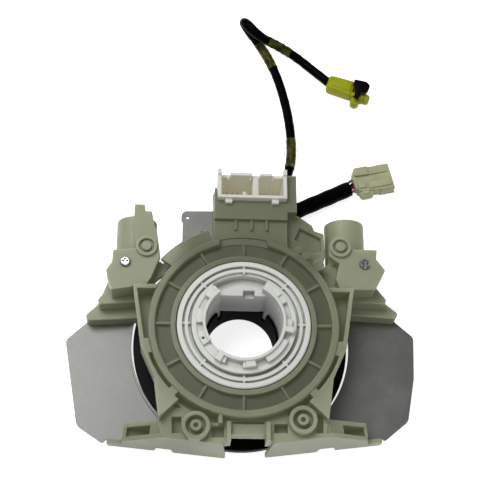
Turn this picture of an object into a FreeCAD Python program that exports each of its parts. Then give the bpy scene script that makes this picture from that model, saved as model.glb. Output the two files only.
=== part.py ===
import FreeCAD, Part
import math
import os
import Sketcher

# Steering clock spring, lying on its wheel side with the column side up.
# Frame: Z is the turning axis and points to the column side, Y points towards the plug header,
# the origin is on the axis in the plane of the wheel side face. Lengths in mm, angles in degrees.

# Driving dimensions. Levels are heights above the wheel side face.
SIZES = {
    # stack along the turning axis
    "disc_height": 10.4,
    "level_gap": 0.6,
    "plate_thickness": 1.6,
    "floor_thickness": 1.8,
    "cover_seat_level": 40.0,
    "cover_rim_height": 6.0,
    # bore and sleeve of the rotor
    "bore_radius": 18.8,
    "sleeve_bore_radius": 20.0,
    "sleeve_wall": 3.0,
    "sleeve_start_level": 21.4,
    "sleeve_flat_reach": 15.9,
    "sleeve_ledge_width": 1.6,
    "sleeve_ledge_drop": 1.4,
    "leg_length": 11.0,
    "leg_width": 3.0,
    "leg_thickness": 1.6,
    "turning_gap": 0.6,
    # flange of the rotor
    "flange_radius": 35.0,
    "flange_thickness": 5.0,
    "flange_band_width": 2.8,
    "flange_edge": 0.5,
    "flange_recess_depth": 2.8,
    "flange_ridge_offset": 1.4,
    "flange_ridge_width": 1.8,
    "flange_rib_width": 1.0,
    "flange_rib_drop": 0.6,
    "well_depth": 8.0,
    "well_floor": 2.0,
    "seat_depth": 4.0,
    # cancel cam collar
    "cam_bore_radius": 20.2,
    "cam_width": 7.2,
    "cam_wall": 1.5,
    "cam_ring_width": 2.5,
    "cam_gap": 0.3,
    "cam_rise": 4.8,
    "cam_ring_rise": 1.0,
    "cam_step_drop": 1.4,
    "cam_pocket_depth": 4.4,
    "cam_gap_start": 62.0,
    "cam_gap_sweep": 66.0,
    # front disc of the rotor
    "disc_radius": 58.5,
    "disc_face_radius": 54.0,
    "disc_edge_height": 4.6,
    "disc_collar_wall": 3.6,
    "disc_edge": 0.6,
    "disc_recess_inner": 27.0,
    "disc_recess_outer": 46.0,
    "disc_recess_depth": 4.0,
    "disc_rib_width": 1.8,
    # stator case and cover ring
    "case_radius": 50.0,
    "case_wall": 2.6,
    "cover_band_width": 2.6,
    "cover_band_drop": 0.6,
    "cover_rim_width": 3.9,
    "cover_edge": 0.6,
    "cover_panel_drop": 4.0,
    "cover_panel_thickness": 2.0,
    "cover_rib_width": 1.2,
    "cover_rib_drop": 1.6,
    "shoulder_width": 7.6,
    "shoulder_fall": 3.2,
    "shoulder_start": 109.4,
    "shoulder_sweep": 30.6,
    "rim_notch_width": 25.8,
    "rim_notch_depth": 3.4,
    # ribbon cable
    "ribbon_radius": 28.4,
    "ribbon_clearance": 1.4,
    "ribbon_thickness": 0.5,
    "ribbon_width": 19.0,
    "ribbon_lift": 1.4,
    # shield plate
    "plate_hole_radius": 59.4,
    "plate_lip_width": 1.2,
    "plate_lip_height": 1.6,
    "plate_ring_width": 4.6,
    # switch base
    "strut_floor_level": 35.0,
    "strut_depth": 13.0,
    "shelf_level": 40.0,
    "shelf_thickness": 3.0,
    "skirt_wall": 2.2,
    "skirt_foot_level": 9.6,
    "skirt_notch_height": 6.0,
    "boss_radius": 7.2,
    "boss_height": 5.0,
    "boss_wall": 2.0,
    "boss_pin_radius": 2.9,
    "boss_hole_radius": 1.25,
    # switch arms
    "barrel_radius": 10.9,
    "barrel_wall": 1.8,
    "barrel_length": 26.0,
    "barrel_depth": 20.0,
    "barrel_level": 30.0,
    "arm_plate_level": 43.6,
    "arm_plate_thickness": 4.0,
    "arm_step_level": 31.0,
    "arm_foot_level": 21.5,
    "arm_web_level": 36.0,
    "arm_web_thickness": 3.0,
    "arm_boss_radius": 5.8,
    "arm_boss_wall": 1.6,
    "arm_boss_height": 1.8,
    "arm_pip_radius": 2.6,
    "screw_head_radius": 2.8,
    "screw_head_height": 1.8,
    "screw_head_edge": 0.6,
    "screw_shank_radius": 1.5,
    "screw_length": 12.0,
    "screw_clearance": 0.2,
    # plug header and its block
    "header_left": -14.4,
    "header_width": 37.8,
    "header_front": 71.0,
    "header_depth": 16.8,
    "header_base_level": 22.0,
    "header_rim_level": 50.0,
    "header_back_rise": 2.8,
    "header_ear_rise": 1.4,
    "header_wall": 1.6,
    "header_side_wall": 2.0,
    "header_back_level": 43.6,
    "header_floor": 3.0,
    "header_bay_split": 21.0,
    "header_divider": 3.2,
    "block_level": 46.0,
    "block_step_width": 10.0,
    "block_step_drop": 2.6,
    "block_cheek": 1.6,
    "block_gap": 0.3,
    "guide_width": 5.2,
    "pin_width": 0.9,
    "pin_pitch": 2.9,
    "pin_length": 12.0,
    # leads
    "lead_radius": 2.75,
    "harness_radius": 4.5,
    "tape_thickness": 0.25,
    "wire_radius": 0.85,
    "outlet_width": 11.0,
    "outlet_depth": 7.0,
    # airbag plug
    "plug_length": 21.0,
    "plug_width": 10.4,
    "plug_height": 9.0,
    "plug_corner": 2.0,
    "lock_thickness": 1.4,
    # switch plug
    "switch_plug_length": 22.0,
    "switch_plug_width": 16.6,
    "switch_plug_height": 10.0,
}


class Size:
    """A number together with the sheet formula that gives it."""

    def __init__(self, number, formula):
        self.number = float(number)
        self.formula = formula

    def __add__(self, other):
        other = as_size(other)
        return Size(self.number + other.number, "(%s + %s)" % (self.formula, other.formula))

    def __sub__(self, other):
        other = as_size(other)
        return Size(self.number - other.number, "(%s - %s)" % (self.formula, other.formula))

    def __mul__(self, other):
        other = as_size(other)
        return Size(self.number * other.number, "(%s * %s)" % (self.formula, other.formula))

    def __truediv__(self, other):
        other = as_size(other)
        return Size(self.number / other.number, "(%s / %s)" % (self.formula, other.formula))

    def __radd__(self, other):
        return as_size(other) + self

    def __rsub__(self, other):
        return as_size(other) - self

    def __rmul__(self, other):
        return as_size(other) * self

    def __neg__(self):
        return 0 - self


def as_size(value):
    if isinstance(value, Size):
        return value
    return Size(value, "%.6g" % value)


def cosine(angle):
    angle = as_size(angle)
    return Size(math.cos(math.radians(angle.number)), "cos(%s)" % angle.formula)


def sine(angle):
    angle = as_size(angle)
    return Size(math.sin(math.radians(angle.number)), "sin(%s)" % angle.formula)


class Sheet:
    """The spreadsheet of driving dimensions, read as attributes."""

    def __init__(self, document, values):
        self.cells = document.addObject("Spreadsheet::Sheet", "sizes")
        for row, (alias, number) in enumerate(values.items(), start=1):
            self.cells.set("A%d" % row, alias)
            self.cells.set("B%d" % row, str(number))
            self.cells.setAlias("B%d" % row, alias)
            setattr(self, alias, Size(number, "sizes.%s" % alias))


doc = FreeCAD.newDocument("clock_spring")
size = Sheet(doc, SIZES)
doc.recompute()
parts = []

UPRIGHT = FreeCAD.Vector(0, 0, 1)


def bind(thing, name, value):
    """Sets a property to a plain number or ties it to the sheet."""
    value = as_size(value)
    if "sizes." in value.formula:
        thing.setExpression(name, value.formula)
    else:
        thing.setExpression(name, None)
        setattr(thing, name, value.number)


# Levels and radii that several pieces share
plate_bottom = size.disc_height + size.level_gap
plate_top = plate_bottom + size.plate_thickness
case_bottom = plate_top + size.level_gap
cover_top = size.cover_seat_level + size.cover_rim_height
cover_bore = size.flange_radius + size.turning_gap
cover_band_edge = cover_bore + size.cover_band_width
cover_rim_edge = size.case_radius - size.cover_rim_width
sleeve_radius = size.sleeve_bore_radius + size.sleeve_wall
flange_bottom = cover_top - size.flange_thickness
cam_edge = size.cam_bore_radius + size.cam_width
flange_recess_radius = cam_edge + size.cam_gap
# How far a rib reaches into the wall that it grows out of
bite = 0.3


def new_body(label):
    body = doc.addObject("PartDesign::Body", label)
    body.Label = label
    body.Placement = FreeCAD.Placement()
    parts.append(body)
    return body


def origin_item(body, role):
    return [item for item in body.Origin.OriginFeatures if item.Role == role][0]


def new_sketch(body, role="XY_Plane", level=0, turn=0):
    """A sketch on one of the body's planes, raised by level, or turned about the upright axis."""
    sketch = body.newObject("Sketcher::SketchObject", body.Label + "_sketch")
    sketch.AttachmentSupport = [(origin_item(body, role), "")]
    sketch.MapMode = "FlatFace"
    turn, level = as_size(turn), as_size(level)
    axis = FreeCAD.Vector(0, 1, 0)
    sketch.AttachmentOffset = FreeCAD.Placement(FreeCAD.Vector(), axis, turn.number)
    if "sizes." in turn.formula:
        sketch.setExpression("AttachmentOffset.Rotation.Angle", turn.formula)
    if turn.number and level.number:
        bind_offset(sketch, "x", level * sine(turn))
        bind_offset(sketch, "z", level * cosine(turn))
    else:
        bind_offset(sketch, "z", level)
    return sketch


def bind_offset(sketch, axis, value):
    sketch.setExpression("AttachmentOffset.Base." + axis, value.formula)


def constrain(sketch, kind, refs, value):
    """Adds a size to a sketch and ties it to the sheet where it comes from there."""
    value = as_size(value)
    index = sketch.addConstraint(Sketcher.Constraint(kind, *refs, value.number))
    if "sizes." in value.formula:
        sketch.setExpression("Constraints[%d]" % index, value.formula)


def pin_point(sketch, geometry, position, x, y):
    constrain(sketch, "DistanceX", (-1, 1, geometry, position), x)
    constrain(sketch, "DistanceY", (-1, 1, geometry, position), y)


def draw_circle(sketch, x, y, radius):
    centre = FreeCAD.Vector(as_size(x).number, as_size(y).number, 0)
    circle = sketch.addGeometry(Part.Circle(centre, UPRIGHT, as_size(radius).number))
    pin_point(sketch, circle, 3, x, y)
    constrain(sketch, "Radius", (circle,), radius)


def draw_polygon(sketch, points):
    """A closed outline through points (x, y), or (x, y, radius) where the corner is rounded."""
    count = len(points)
    spots = [FreeCAD.Vector(as_size(p[0]).number, as_size(p[1]).number, 0) for p in points]
    radii = [as_size(p[2]) if len(p) > 2 else None for p in points]
    starts, ends = list(spots), list(spots)
    arcs = {}
    for i, radius in enumerate(radii):
        if radius is None:
            continue
        back = (spots[i - 1] - spots[i]).normalize()
        ahead = (spots[(i + 1) % count] - spots[i]).normalize()
        half = back.getAngle(ahead) / 2
        cut = radius.number / math.tan(half)
        ends[i] = spots[i] + back * cut
        starts[i] = spots[i] + ahead * cut
        centre = spots[i] + (back + ahead).normalize() * (radius.number / math.sin(half))
        arcs[i] = (centre, radius, back.cross(ahead).z < 0)
    lines = []
    for i in range(count):
        segment = Part.LineSegment(starts[i], ends[(i + 1) % count])
        lines.append(sketch.addGeometry(segment))
    for i in range(count):
        before, after = lines[i - 1], lines[i]
        if i not in arcs:
            sketch.addConstraint(Sketcher.Constraint("Coincident", before, 2, after, 1))
            pin_point(sketch, after, 1, points[i][0], points[i][1])
            continue
        centre, radius, turns_left = arcs[i]
        first, last = (ends[i], starts[i]) if turns_left else (starts[i], ends[i])
        angles = [math.atan2(p.y - centre.y, p.x - centre.x) for p in (first, last)]
        circle = Part.Circle(centre, UPRIGHT, radius.number)
        arc = sketch.addGeometry(Part.ArcOfCircle(circle, angles[0], angles[1]))
        corner = sketch.addGeometry(Part.Point(spots[i]), True)
        pin_point(sketch, corner, 1, points[i][0], points[i][1])
        sketch.addConstraint([
            Sketcher.Constraint("PointOnObject", corner, 1, before),
            Sketcher.Constraint("PointOnObject", corner, 1, after),
            Sketcher.Constraint("Tangent", before, 2, arc, 1 if turns_left else 2),
            Sketcher.Constraint("Tangent", arc, 2 if turns_left else 1, after, 1),
        ])
        constrain(sketch, "Radius", (arc,), radius)


def rectangle(left, right, low, high):
    return [(left, low), (right, low), (right, high), (left, high)]


def add_feature(body, kind, sketch, length=None, both_sides=False):
    feature = body.newObject(kind, body.Label + "_" + kind.split("::")[1].lower())
    feature.Profile = (sketch, [""])
    if length is not None:
        bind(feature, "Length", length)
    if both_sides:
        feature.Midplane = True
    sketch.Visibility = False
    return feature


def pad(body, outline, low, high):
    """Adds an upright prism between two levels. An outline is a polygon or a (x, y, radius)."""
    sketch = new_sketch(body, "XY_Plane", low)
    draw_outline(sketch, outline)
    return add_feature(body, "PartDesign::Pad", sketch, high - low)


def pocket(body, outline, low, high):
    """Cuts an upright prism down from the high level to the low one."""
    sketch = new_sketch(body, "XY_Plane", high)
    draw_outline(sketch, outline)
    return add_feature(body, "PartDesign::Pocket", sketch, high - low)


def draw_outline(sketch, outline):
    if isinstance(outline, tuple):
        draw_circle(sketch, *outline)
    else:
        draw_polygon(sketch, outline)


def side_pad(body, profile, near, far, turn=0, kind="PartDesign::Pad"):
    """Adds or cuts a prism with an (x, z) profile, between two distances in front of the axis."""
    sketch = new_sketch(body, "XZ_Plane", (near + far) / 2, turn)
    draw_outline(sketch, profile)
    return add_feature(body, kind, sketch, far - near, both_sides=True)


def turn_profile(body, profile, start=0, sweep=360, kind="PartDesign::Revolution"):
    """Turns a (radius, level) profile about the upright axis."""
    sketch = new_sketch(body, "XZ_Plane", 0, start)
    draw_polygon(sketch, profile)
    feature = add_feature(body, kind, sketch)
    feature.ReferenceAxis = (sketch, ["V_Axis"])
    bind(feature, "Angle", sweep)
    return feature


def repeat_round(body, feature, count):
    pattern = body.newObject("PartDesign::PolarPattern", body.Label + "_pattern")
    pattern.Originals = [feature]
    pattern.Axis = (origin_item(body, "Z_Axis"), [""])
    pattern.Angle = 360
    pattern.Occurrences = count
    body.Tip = pattern
    return pattern


def round_by(angle, radius):
    """The x and y of a spot at an angle and a radius from the axis."""
    return radius * cosine(angle), radius * sine(angle)


# Rotor: the pieces that turn with the steering wheel

LEG_ANGLES = (49, 128, 229, 308)


def make_rotor_hub():
    """White sleeve round the column with the ribbed flange that shows on the column side."""
    body = new_body("rotor_hub")
    recess_floor = cover_top - size.flange_recess_depth
    recess_edge = size.flange_radius - size.flange_band_width
    seat = cover_top - size.seat_depth
    well = cover_top - size.well_depth
    well_bottom = well - size.well_floor
    well_edge = flange_recess_radius + size.well_floor
    turn_profile(body, [
        (size.sleeve_bore_radius, size.sleeve_start_level),
        (sleeve_radius, size.sleeve_start_level),
        (sleeve_radius, well_bottom),
        (well_edge, well_bottom),
        (well_edge, flange_bottom),
        (size.flange_radius, flange_bottom),
        (size.flange_radius, cover_top - size.flange_edge),
        (size.flange_radius - size.flange_edge, cover_top),
        (recess_edge, cover_top),
        (recess_edge, recess_floor),
        (flange_recess_radius, recess_floor),
        (flange_recess_radius, seat),
        (ledge_edge, seat),
        (ledge_edge, ledge_top),
        (size.sleeve_bore_radius, ledge_top),
    ])
    turn_profile(body, rectangle(ledge_edge, flange_recess_radius, well, seat),
                 size.cam_gap_start, size.cam_gap_sweep, "PartDesign::Groove")
    chord = (size.sleeve_bore_radius.number ** 2 - size.sleeve_flat_reach.number ** 2) ** 0.5
    back = size.sleeve_bore_radius + size.sleeve_wall / 2
    pad(body, [
        (-chord, size.sleeve_flat_reach),
        (chord, size.sleeve_flat_reach),
        round_by(66, back),
        (0, back),
        round_by(114, back),
    ], size.sleeve_start_level, ledge_top)
    reach = size.sleeve_flat_reach
    pocket(body, rectangle(-0.4, 5.6, reach - 1, reach + 3), ledge_top - 4, ledge_top)
    ridge_top = cover_top - size.flange_rib_drop
    ridge = flange_recess_radius + size.flange_ridge_offset
    turn_profile(body, rectangle(ridge, ridge + size.flange_ridge_width, recess_floor, ridge_top))
    half = size.flange_rib_width / 2
    rib = pad(body, rectangle(flange_recess_radius + bite, recess_edge + bite, -half, half),
              recess_floor, ridge_top)
    repeat_round(body, rib, 8)
    for angle in LEG_ANGLES:
        leg = leg_profile(size.sleeve_bore_radius)
        turn_profile(body, leg, angle - leg_sweep.number / 2, leg_sweep)


ledge_edge = size.sleeve_bore_radius + size.sleeve_ledge_width
ledge_top = cover_top - size.sleeve_ledge_drop
leg_sweep = size.leg_width / size.sleeve_bore_radius * (180 / math.pi)


def leg_profile(inner):
    low = size.sleeve_start_level - size.leg_length
    outer = size.sleeve_bore_radius + size.leg_thickness
    return rectangle(inner, outer, low, size.sleeve_start_level)


# Angles where the collar's middle step is pocketed, from and to
CAM_POCKETS = [(146, 164), (182, 194), (246, 268), (285, 299), (336, 346), (4, 27)]
# Tabs that stand on it: from, to, drop below its top and reach beyond its middle step
CAM_TABS = [
    (38, 50, 0.4, 0.0), (134, 146, 0.4, 0.0), (233, 241, 0.1, 0.6), (346, 353, 0.1, 1.3),
    (272, 284, 0.6, 0.0),
]


def make_cam_collar():
    """Collar with driving tabs that cancels the turn signal, open over part of the circle."""
    body = new_body("cam_collar")
    low = cover_top - size.seat_depth
    top = cover_top + size.cam_rise
    wall_edge = size.cam_bore_radius + size.cam_wall
    step_edge = cam_edge - size.cam_ring_width
    ring_top = cover_top + size.cam_ring_rise
    step_top = top - size.cam_step_drop
    start = size.cam_gap_start + size.cam_gap_sweep
    sweep = 360 - size.cam_gap_sweep
    turn_profile(body, [
        (size.cam_bore_radius, ledge_top),
        (ledge_edge, ledge_top),
        (ledge_edge, low),
        (cam_edge, low),
        (cam_edge, ring_top),
        (step_edge, ring_top),
        (step_edge, step_top),
        (wall_edge, step_top),
        (wall_edge, top),
        (size.cam_bore_radius, top),
    ], start, sweep)
    for first, last in CAM_POCKETS:
        floor = top - size.cam_pocket_depth
        turn_profile(body, rectangle(wall_edge, step_edge, floor, top), first, last - first,
                     "PartDesign::Groove")
    lowered = rectangle(size.cam_bore_radius - 1, step_edge + 1, step_top - 1.8, top + 1)
    turn_profile(body, lowered, 212, 20, "PartDesign::Groove")
    for first, last, drop, reach in CAM_TABS:
        tab = rectangle(wall_edge - bite, step_edge + reach, ring_top - 1, top - drop)
        turn_profile(body, tab, first, last - first)
    x, y = round_by(204, (wall_edge + step_edge) / 2)
    pocket(body, (x, y, size.cam_wall / 2), ring_top, top)


def make_front_disc():
    """Black disc on the wheel side, with the collar that the column passes through."""
    body = new_body("front_disc")
    collar_edge = size.bore_radius + size.disc_collar_wall
    turn_profile(body, [
        (size.bore_radius, 0),
        (size.disc_face_radius, 0),
        (size.disc_radius, size.disc_height - size.disc_edge_height),
        (size.disc_radius, size.disc_height - size.disc_edge),
        (size.disc_radius - size.disc_edge, size.disc_height),
        (collar_edge, size.disc_height),
        (collar_edge, size.sleeve_start_level),
        (size.bore_radius, size.sleeve_start_level),
    ])
    turn_profile(body, rectangle(size.disc_recess_inner, size.disc_recess_outer,
                                 0, size.disc_recess_depth), kind="PartDesign::Groove")
    half = size.disc_rib_width / 2
    rib = pad(body, rectangle(size.disc_recess_inner - 1, size.disc_recess_outer + 1, -half, half),
              as_size(0), size.disc_recess_depth)
    repeat_round(body, rib, 6)
    for angle in LEG_ANGLES:
        slot = leg_profile(size.bore_radius - size.turning_gap)
        turn_profile(body, slot, angle - leg_sweep.number / 2, leg_sweep, "PartDesign::Groove")
    for outlet in (AIRBAG_OUTLET, SWITCH_OUTLET):
        corners = outlet_outline(outlet, as_size(3))
        pocket(body, corners, as_size(0), size.disc_height)


# Angle round the axis of each lead's outlet on the disc's edge
AIRBAG_OUTLET = 90.0
SWITCH_OUTLET = 76.0
OUTLET_REACH = 1.5


def outlet_outline(angle, reach):
    """Plan of an outlet block, set square to the radius at its angle, reach beyond the edge."""
    inner = size.disc_radius - size.outlet_depth
    outer = size.disc_radius + reach
    half = size.outlet_width / 2
    across_x, across_y = -half * sine(angle), half * cosine(angle)
    corners = []
    for radius, side in ((inner, -1), (outer, -1), (outer, 1), (inner, 1)):
        x, y = round_by(angle, radius)
        corners.append((x + side * across_x, y + side * across_y))
    return corners


def make_outlet(label, angle):
    """Strain relief on the edge of the disc, where a lead comes out."""
    body = new_body(label)
    pad(body, outlet_outline(angle, OUTLET_REACH), as_size(0.2), size.disc_height)


# Stator: the pieces that stay with the column

def make_case():
    """Round case under the cover ring, with the floor that carries the ribbon cable."""
    body = new_body("ribbon_case")
    inner = size.case_radius - size.case_wall
    hub_clear = sleeve_radius + 2 * size.turning_gap
    floor_top = case_bottom + size.floor_thickness
    turn_profile(body, [
        (hub_clear, case_bottom),
        (size.case_radius, case_bottom),
        (size.case_radius, size.cover_seat_level),
        (inner, size.cover_seat_level),
        (inner, floor_top),
        (hub_clear, floor_top),
    ])


# Bumps on the cover's edge: angle, distance out from the case's side, radius and drop
RIM_BUMPS = [(55.5, 1.3, 2.1, 0.0), (49.6, 1.2, 2.1, 0.0), (40.5, 2.3, 3.2, 0.4)]


def make_cover():
    """Cover ring with a sunk, ribbed channel between its bore band and its outer rim."""
    body = new_body("cover_ring")
    panel_top = cover_top - size.cover_panel_drop
    panel_bottom = panel_top - size.cover_panel_thickness
    band_top = cover_top - size.cover_band_drop
    turn_profile(body, [
        (cover_bore, panel_bottom),
        (size.case_radius, size.cover_seat_level),
        (size.case_radius, cover_top - size.cover_edge),
        (size.case_radius - size.cover_edge, cover_top),
        (cover_rim_edge + size.cover_edge, cover_top),
        (cover_rim_edge, cover_top - size.cover_edge),
        (cover_rim_edge, panel_top),
        (cover_band_edge, panel_top),
        (cover_band_edge, band_top),
        (cover_bore, band_top),
    ])
    half = size.cover_rib_width / 2
    inner, outer = cover_band_edge - bite, cover_rim_edge + bite
    rib = pad(body, rectangle(inner, outer, -half, half), panel_top, cover_top - size.cover_rib_drop)
    repeat_round(body, rib, 12)
    shoulder_edge = size.case_radius + size.shoulder_width
    turn_profile(body, [
        (size.case_radius - 1, size.cover_seat_level),
        (shoulder_edge, size.cover_seat_level),
        (shoulder_edge, cover_top - size.shoulder_fall),
        (size.case_radius - 1, cover_top - 2 * size.cover_edge),
    ], size.shoulder_start, size.shoulder_sweep)
    notch = size.rim_notch_width / 2
    pocket(body, rectangle(-notch, notch, cover_rim_edge - 2, size.case_radius + 1),
           cover_top - size.rim_notch_depth, cover_top)
    for angle, outward, radius, drop in RIM_BUMPS:
        spot = round_by(angle, size.case_radius + outward)
        pad(body, spot + (radius,), size.cover_seat_level, cover_top - drop)


def make_ribbon():
    """Flat ribbon cable, wound between the case and the hub as a spiral of half circles."""
    low = (case_bottom + size.floor_thickness + size.ribbon_lift).number
    room = size.case_radius - size.case_wall - size.ribbon_clearance - size.ribbon_radius
    half_turns = 7
    start, pitch = size.ribbon_radius.number, 2 * room.number / half_turns
    thickness, width = size.ribbon_thickness.number, size.ribbon_width.number
    edges = []
    for offset in (0, thickness):
        run = []
        x = start + offset
        for turn in range(half_turns):
            side = 1 if turn % 2 == 0 else -1
            reach = start + offset + (turn + 0.5) * pitch / 2
            middle = x - side * reach
            top = FreeCAD.Vector(middle, side * reach, low)
            end = FreeCAD.Vector(middle - side * reach, 0, low)
            begin = FreeCAD.Vector(x, 0, low)
            run.append(Part.Arc(begin, top, end).toShape())
            x = middle - side * reach
        edges.append(run)
    inner, outer = edges
    closing = [
        Part.makeLine(inner[0].Vertexes[0].Point, outer[0].Vertexes[0].Point),
        Part.makeLine(inner[-1].Vertexes[1].Point, outer[-1].Vertexes[1].Point),
    ]
    loop = Part.Wire(Part.__sortEdges__(inner + outer + closing))
    ribbon = doc.addObject("Part::Feature", "ribbon_cable")
    ribbon.Label = "ribbon_cable"
    ribbon.Shape = Part.Face(loop).extrude(FreeCAD.Vector(0, 0, width))
    ribbon.Placement = FreeCAD.Placement()
    parts.append(ribbon)


def make_shield_plate():
    """Sheet with a wing on each side, a raised lip round its hole and a tab beside the header."""
    body = new_body("shield_plate")
    ring = size.plate_hole_radius + size.plate_ring_width
    pad(body, (0, 0, ring), plate_bottom, plate_top)
    pad(body, LEFT_WING, plate_bottom, plate_top)
    pad(body, RIGHT_WING, plate_bottom, plate_top)
    pad(body, PLATE_TAB, plate_bottom, plate_top)
    lip_edge = size.plate_hole_radius + size.plate_lip_width
    lip_top = plate_top + size.plate_lip_height
    pad(body, (0, 0, lip_edge), plate_bottom, lip_top)
    pocket(body, (0, 0, size.plate_hole_radius), plate_bottom, lip_top)
    pocket(body, PLATE_CUTOUT, plate_bottom, lip_top)
    for x, y in ((-30.2, 75.6), (-22.0, 66.4)):
        pocket(body, (x, y, 0.9), plate_bottom, plate_top)


# Outlines of the plate's wings and tab
LEFT_WING = [
    (-50.0, 30.0), (-66.0, 30.0), (-84.5, 10.4, 3), (-95.0, 0.4, 4), (-86.6, -46.6, 5),
    (-72.6, -55.8, 1), (-70.6, -53.8), (-38.0, -57.0), (-38.0, -48.0), (-61.0, -14.0), (-61.0, 10.0),
]
RIGHT_WING = [
    (50.0, 32.0), (68.0, 32.0), (87.0, 13.4, 3), (95.8, 5.6, 4), (94.6, -18.0, 8),
    (90.2, -41.8, 5), (77.4, -52.4, 1), (75.2, -51.6), (42.0, -55.7), (40.0, -49.0),
    (61.0, -14.0), (61.0, 10.0),
]
# The part of the ring that the front of the switch base takes the place of
PLATE_CUTOUT = rectangle(-38.0, 40.0, -66.0, -40.0)
PLATE_TAB = [
    (-33.0, 53.0), (-33.0, 72.6, 1.5), (-33.8, 74.2, 1.5), (-33.8, 79.6, 3.4),
    (12.0, 80.6), (12.0, 61.0), (-10.0, 60.5),
]


def clear_lip(body):
    """Makes room for the plate's lip under a piece that stands across it."""
    gap = size.screw_clearance
    inner = size.plate_hole_radius - gap
    outer = size.plate_hole_radius + size.plate_lip_width + gap
    top = plate_top + size.plate_lip_height + gap
    turn_profile(body, rectangle(inner, outer, plate_top - 1, top), kind="PartDesign::Groove")


def beside_case(points, side):
    """Mirrors or keeps points whose x is counted outward from the case's side."""
    return [(side * (size.case_radius + point[0]),) + tuple(point[1:]) for point in points]


def slice_round(body, radius, low, high):
    """Cuts the round seat of the case and cover out of a piece that reaches inside it."""
    return pocket(body, (0, 0, radius), low, high)


# Plan of each strut, from the arm down to the skirt and back along the case, with x counted
# outward from the case's side, and the pockets in it and in the shelf's corner beside it
STRUT = [
    (8.5, 21.0), (3.2, -13.0), (-4.0, -29.0), (-7.0, -50.5), (-20.0, -38.0), (-12.0, -20.0), (-7.0, 21.0),
]
STRUT_POCKET = [(6.2, 18.8), (1.7, -9.0), (-4.0, -9.0), (-7.0, 18.8)]
CORNER_POCKET = [(-9.8, -37.6), (-9.8, -43.8), (-18.4, -43.8)]
# Slots between the left strut and the case, and on the right mirrored: start, sweep and width
STRUT_SLOTS = [(199, 24, 2.0), (228, 16, 2.8)]
# Plan of the shelf between the struts and the front walls
SHELF = [
    (-46.0, -29.0), (-43.0, -50.5), (-41.6, -58.4), (-8.4, -61.4), (-6.6, -57.2), (11.4, -57.2),
    (13.2, -60.8), (42.4, -57.2), (43.0, -50.5), (46.0, -29.0), (30.0, -20.0), (-30.0, -20.0),
]
SHELF_POCKETS = [
    [(-36.6, -48.6), (-31.6, -48.6), (-31.6, -57.2), (-36.0, -57.2)],
    [(-21.6, -40.0), (-13.2, -40.0), (-13.2, -51.4), (-21.6, -51.4)],
    [(-16.4, -53.0), (-9.8, -53.0), (-9.8, -59.0), (-16.0, -59.0)],
    [(15.6, -51.6), (22.6, -51.6), (22.6, -56.4), (15.6, -56.4)],
    [(37.6, -45.4), (41.0, -45.4), (40.6, -56.0), (37.2, -56.0)],
    [(-5.6, -50.6), (10.4, -50.6), (10.4, -51.8), (-5.6, -51.8)],
]
BOSSES = [(-24.2, -54.0), (30.0, -50.4)]
# Front walls: turn about the axis, distance from it, place of the inner end and which way they run
FRONT_WALLS = [(-5.6, 63.0, -1.9, -1), (7.0, 63.0, 5.4, 1)]


def make_switch_base():
    """Moulding round the lower half of the case: struts, shelf, screw bosses and front walls."""
    body = new_body("switch_base")
    slab_bottom = size.shelf_level - 3 * size.shelf_thickness
    pad(body, SHELF, slab_bottom, size.shelf_level)
    for side in (-1, 1):
        pad(body, beside_case(STRUT, side), cover_top - size.strut_depth, cover_top)
    slice_round(body, size.case_radius, slab_bottom, cover_top)
    for side in (-1, 1):
        pocket(body, beside_case(STRUT_POCKET, side), size.strut_floor_level, cover_top)
        pocket(body, beside_case(CORNER_POCKET, side), size.strut_floor_level, size.shelf_level)
        for start, sweep, width in STRUT_SLOTS:
            first = start if side < 0 else 540 - start - sweep
            slot = rectangle(size.case_radius, size.case_radius + width,
                             size.strut_floor_level, cover_top + 1)
            turn_profile(body, slot, first, sweep, "PartDesign::Groove")
    for corners in SHELF_POCKETS:
        pocket(body, corners, slab_bottom + size.shelf_thickness, size.shelf_level)
    for left, right in ((-8.6, -6.4), (11.4, 13.6)):
        pad(body, rectangle(left, right, -61.0, -51.4), slab_bottom, size.shelf_level + 3.4)
    post_back = 2 - size.case_radius
    pad(body, rectangle(-12.8, -10.9, as_size(-52.9), post_back), slab_bottom, cover_top - 0.4)
    slice_round(body, size.case_radius, slab_bottom, cover_top)
    for turn, distance, start, way in FRONT_WALLS:
        make_front_wall(body, turn, distance, start, way)
    for x, y in BOSSES:
        make_boss(body, x, y, slab_bottom)
    clear_lip(body)


def make_front_wall(body, turn, distance, start, way):
    """Front wall with its foot tab, and the sloping tray behind its outer half."""
    def along(length):
        return start + way * length

    far = as_size(distance)
    near = far - size.skirt_wall
    foot = size.skirt_foot_level
    top = size.shelf_level
    notch = foot + size.skirt_notch_height
    tab_top = plate_top + 3.4
    wall = [
        (along(0), foot, 1), (along(27.6), foot, 1), (along(28.8), notch, 1),
        (along(36.4), notch, 1), (along(37.6), foot, 1), (along(62.0), foot, 1),
        (along(62.6), tab_top, 1), (along(54.6), tab_top),
        (along(53.6), plate_top + 10.0, 1), (along(33.0), top, 3), (along(2.4), top),
    ]
    side_pad(body, wall, near, far, turn)
    tray_low = plate_top + size.plate_lip_height + 2 * size.screw_clearance
    tray = [(along(30.0), tray_low), (along(54.2), tray_low), (along(54.2), plate_top + 9.4),
            (along(31.6), top - 1), (along(30.0), top - 1)]
    back = near - 7.4
    side_pad(body, tray, back, near, turn)
    hollow = [(along(40.0), tray_low + 4), (along(52.4), tray_low + 4),
              (along(52.4), top + 2), (along(40.0), top + 2)]
    side_pad(body, hollow, back + size.skirt_wall, near, turn, "PartDesign::Pocket")


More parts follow.
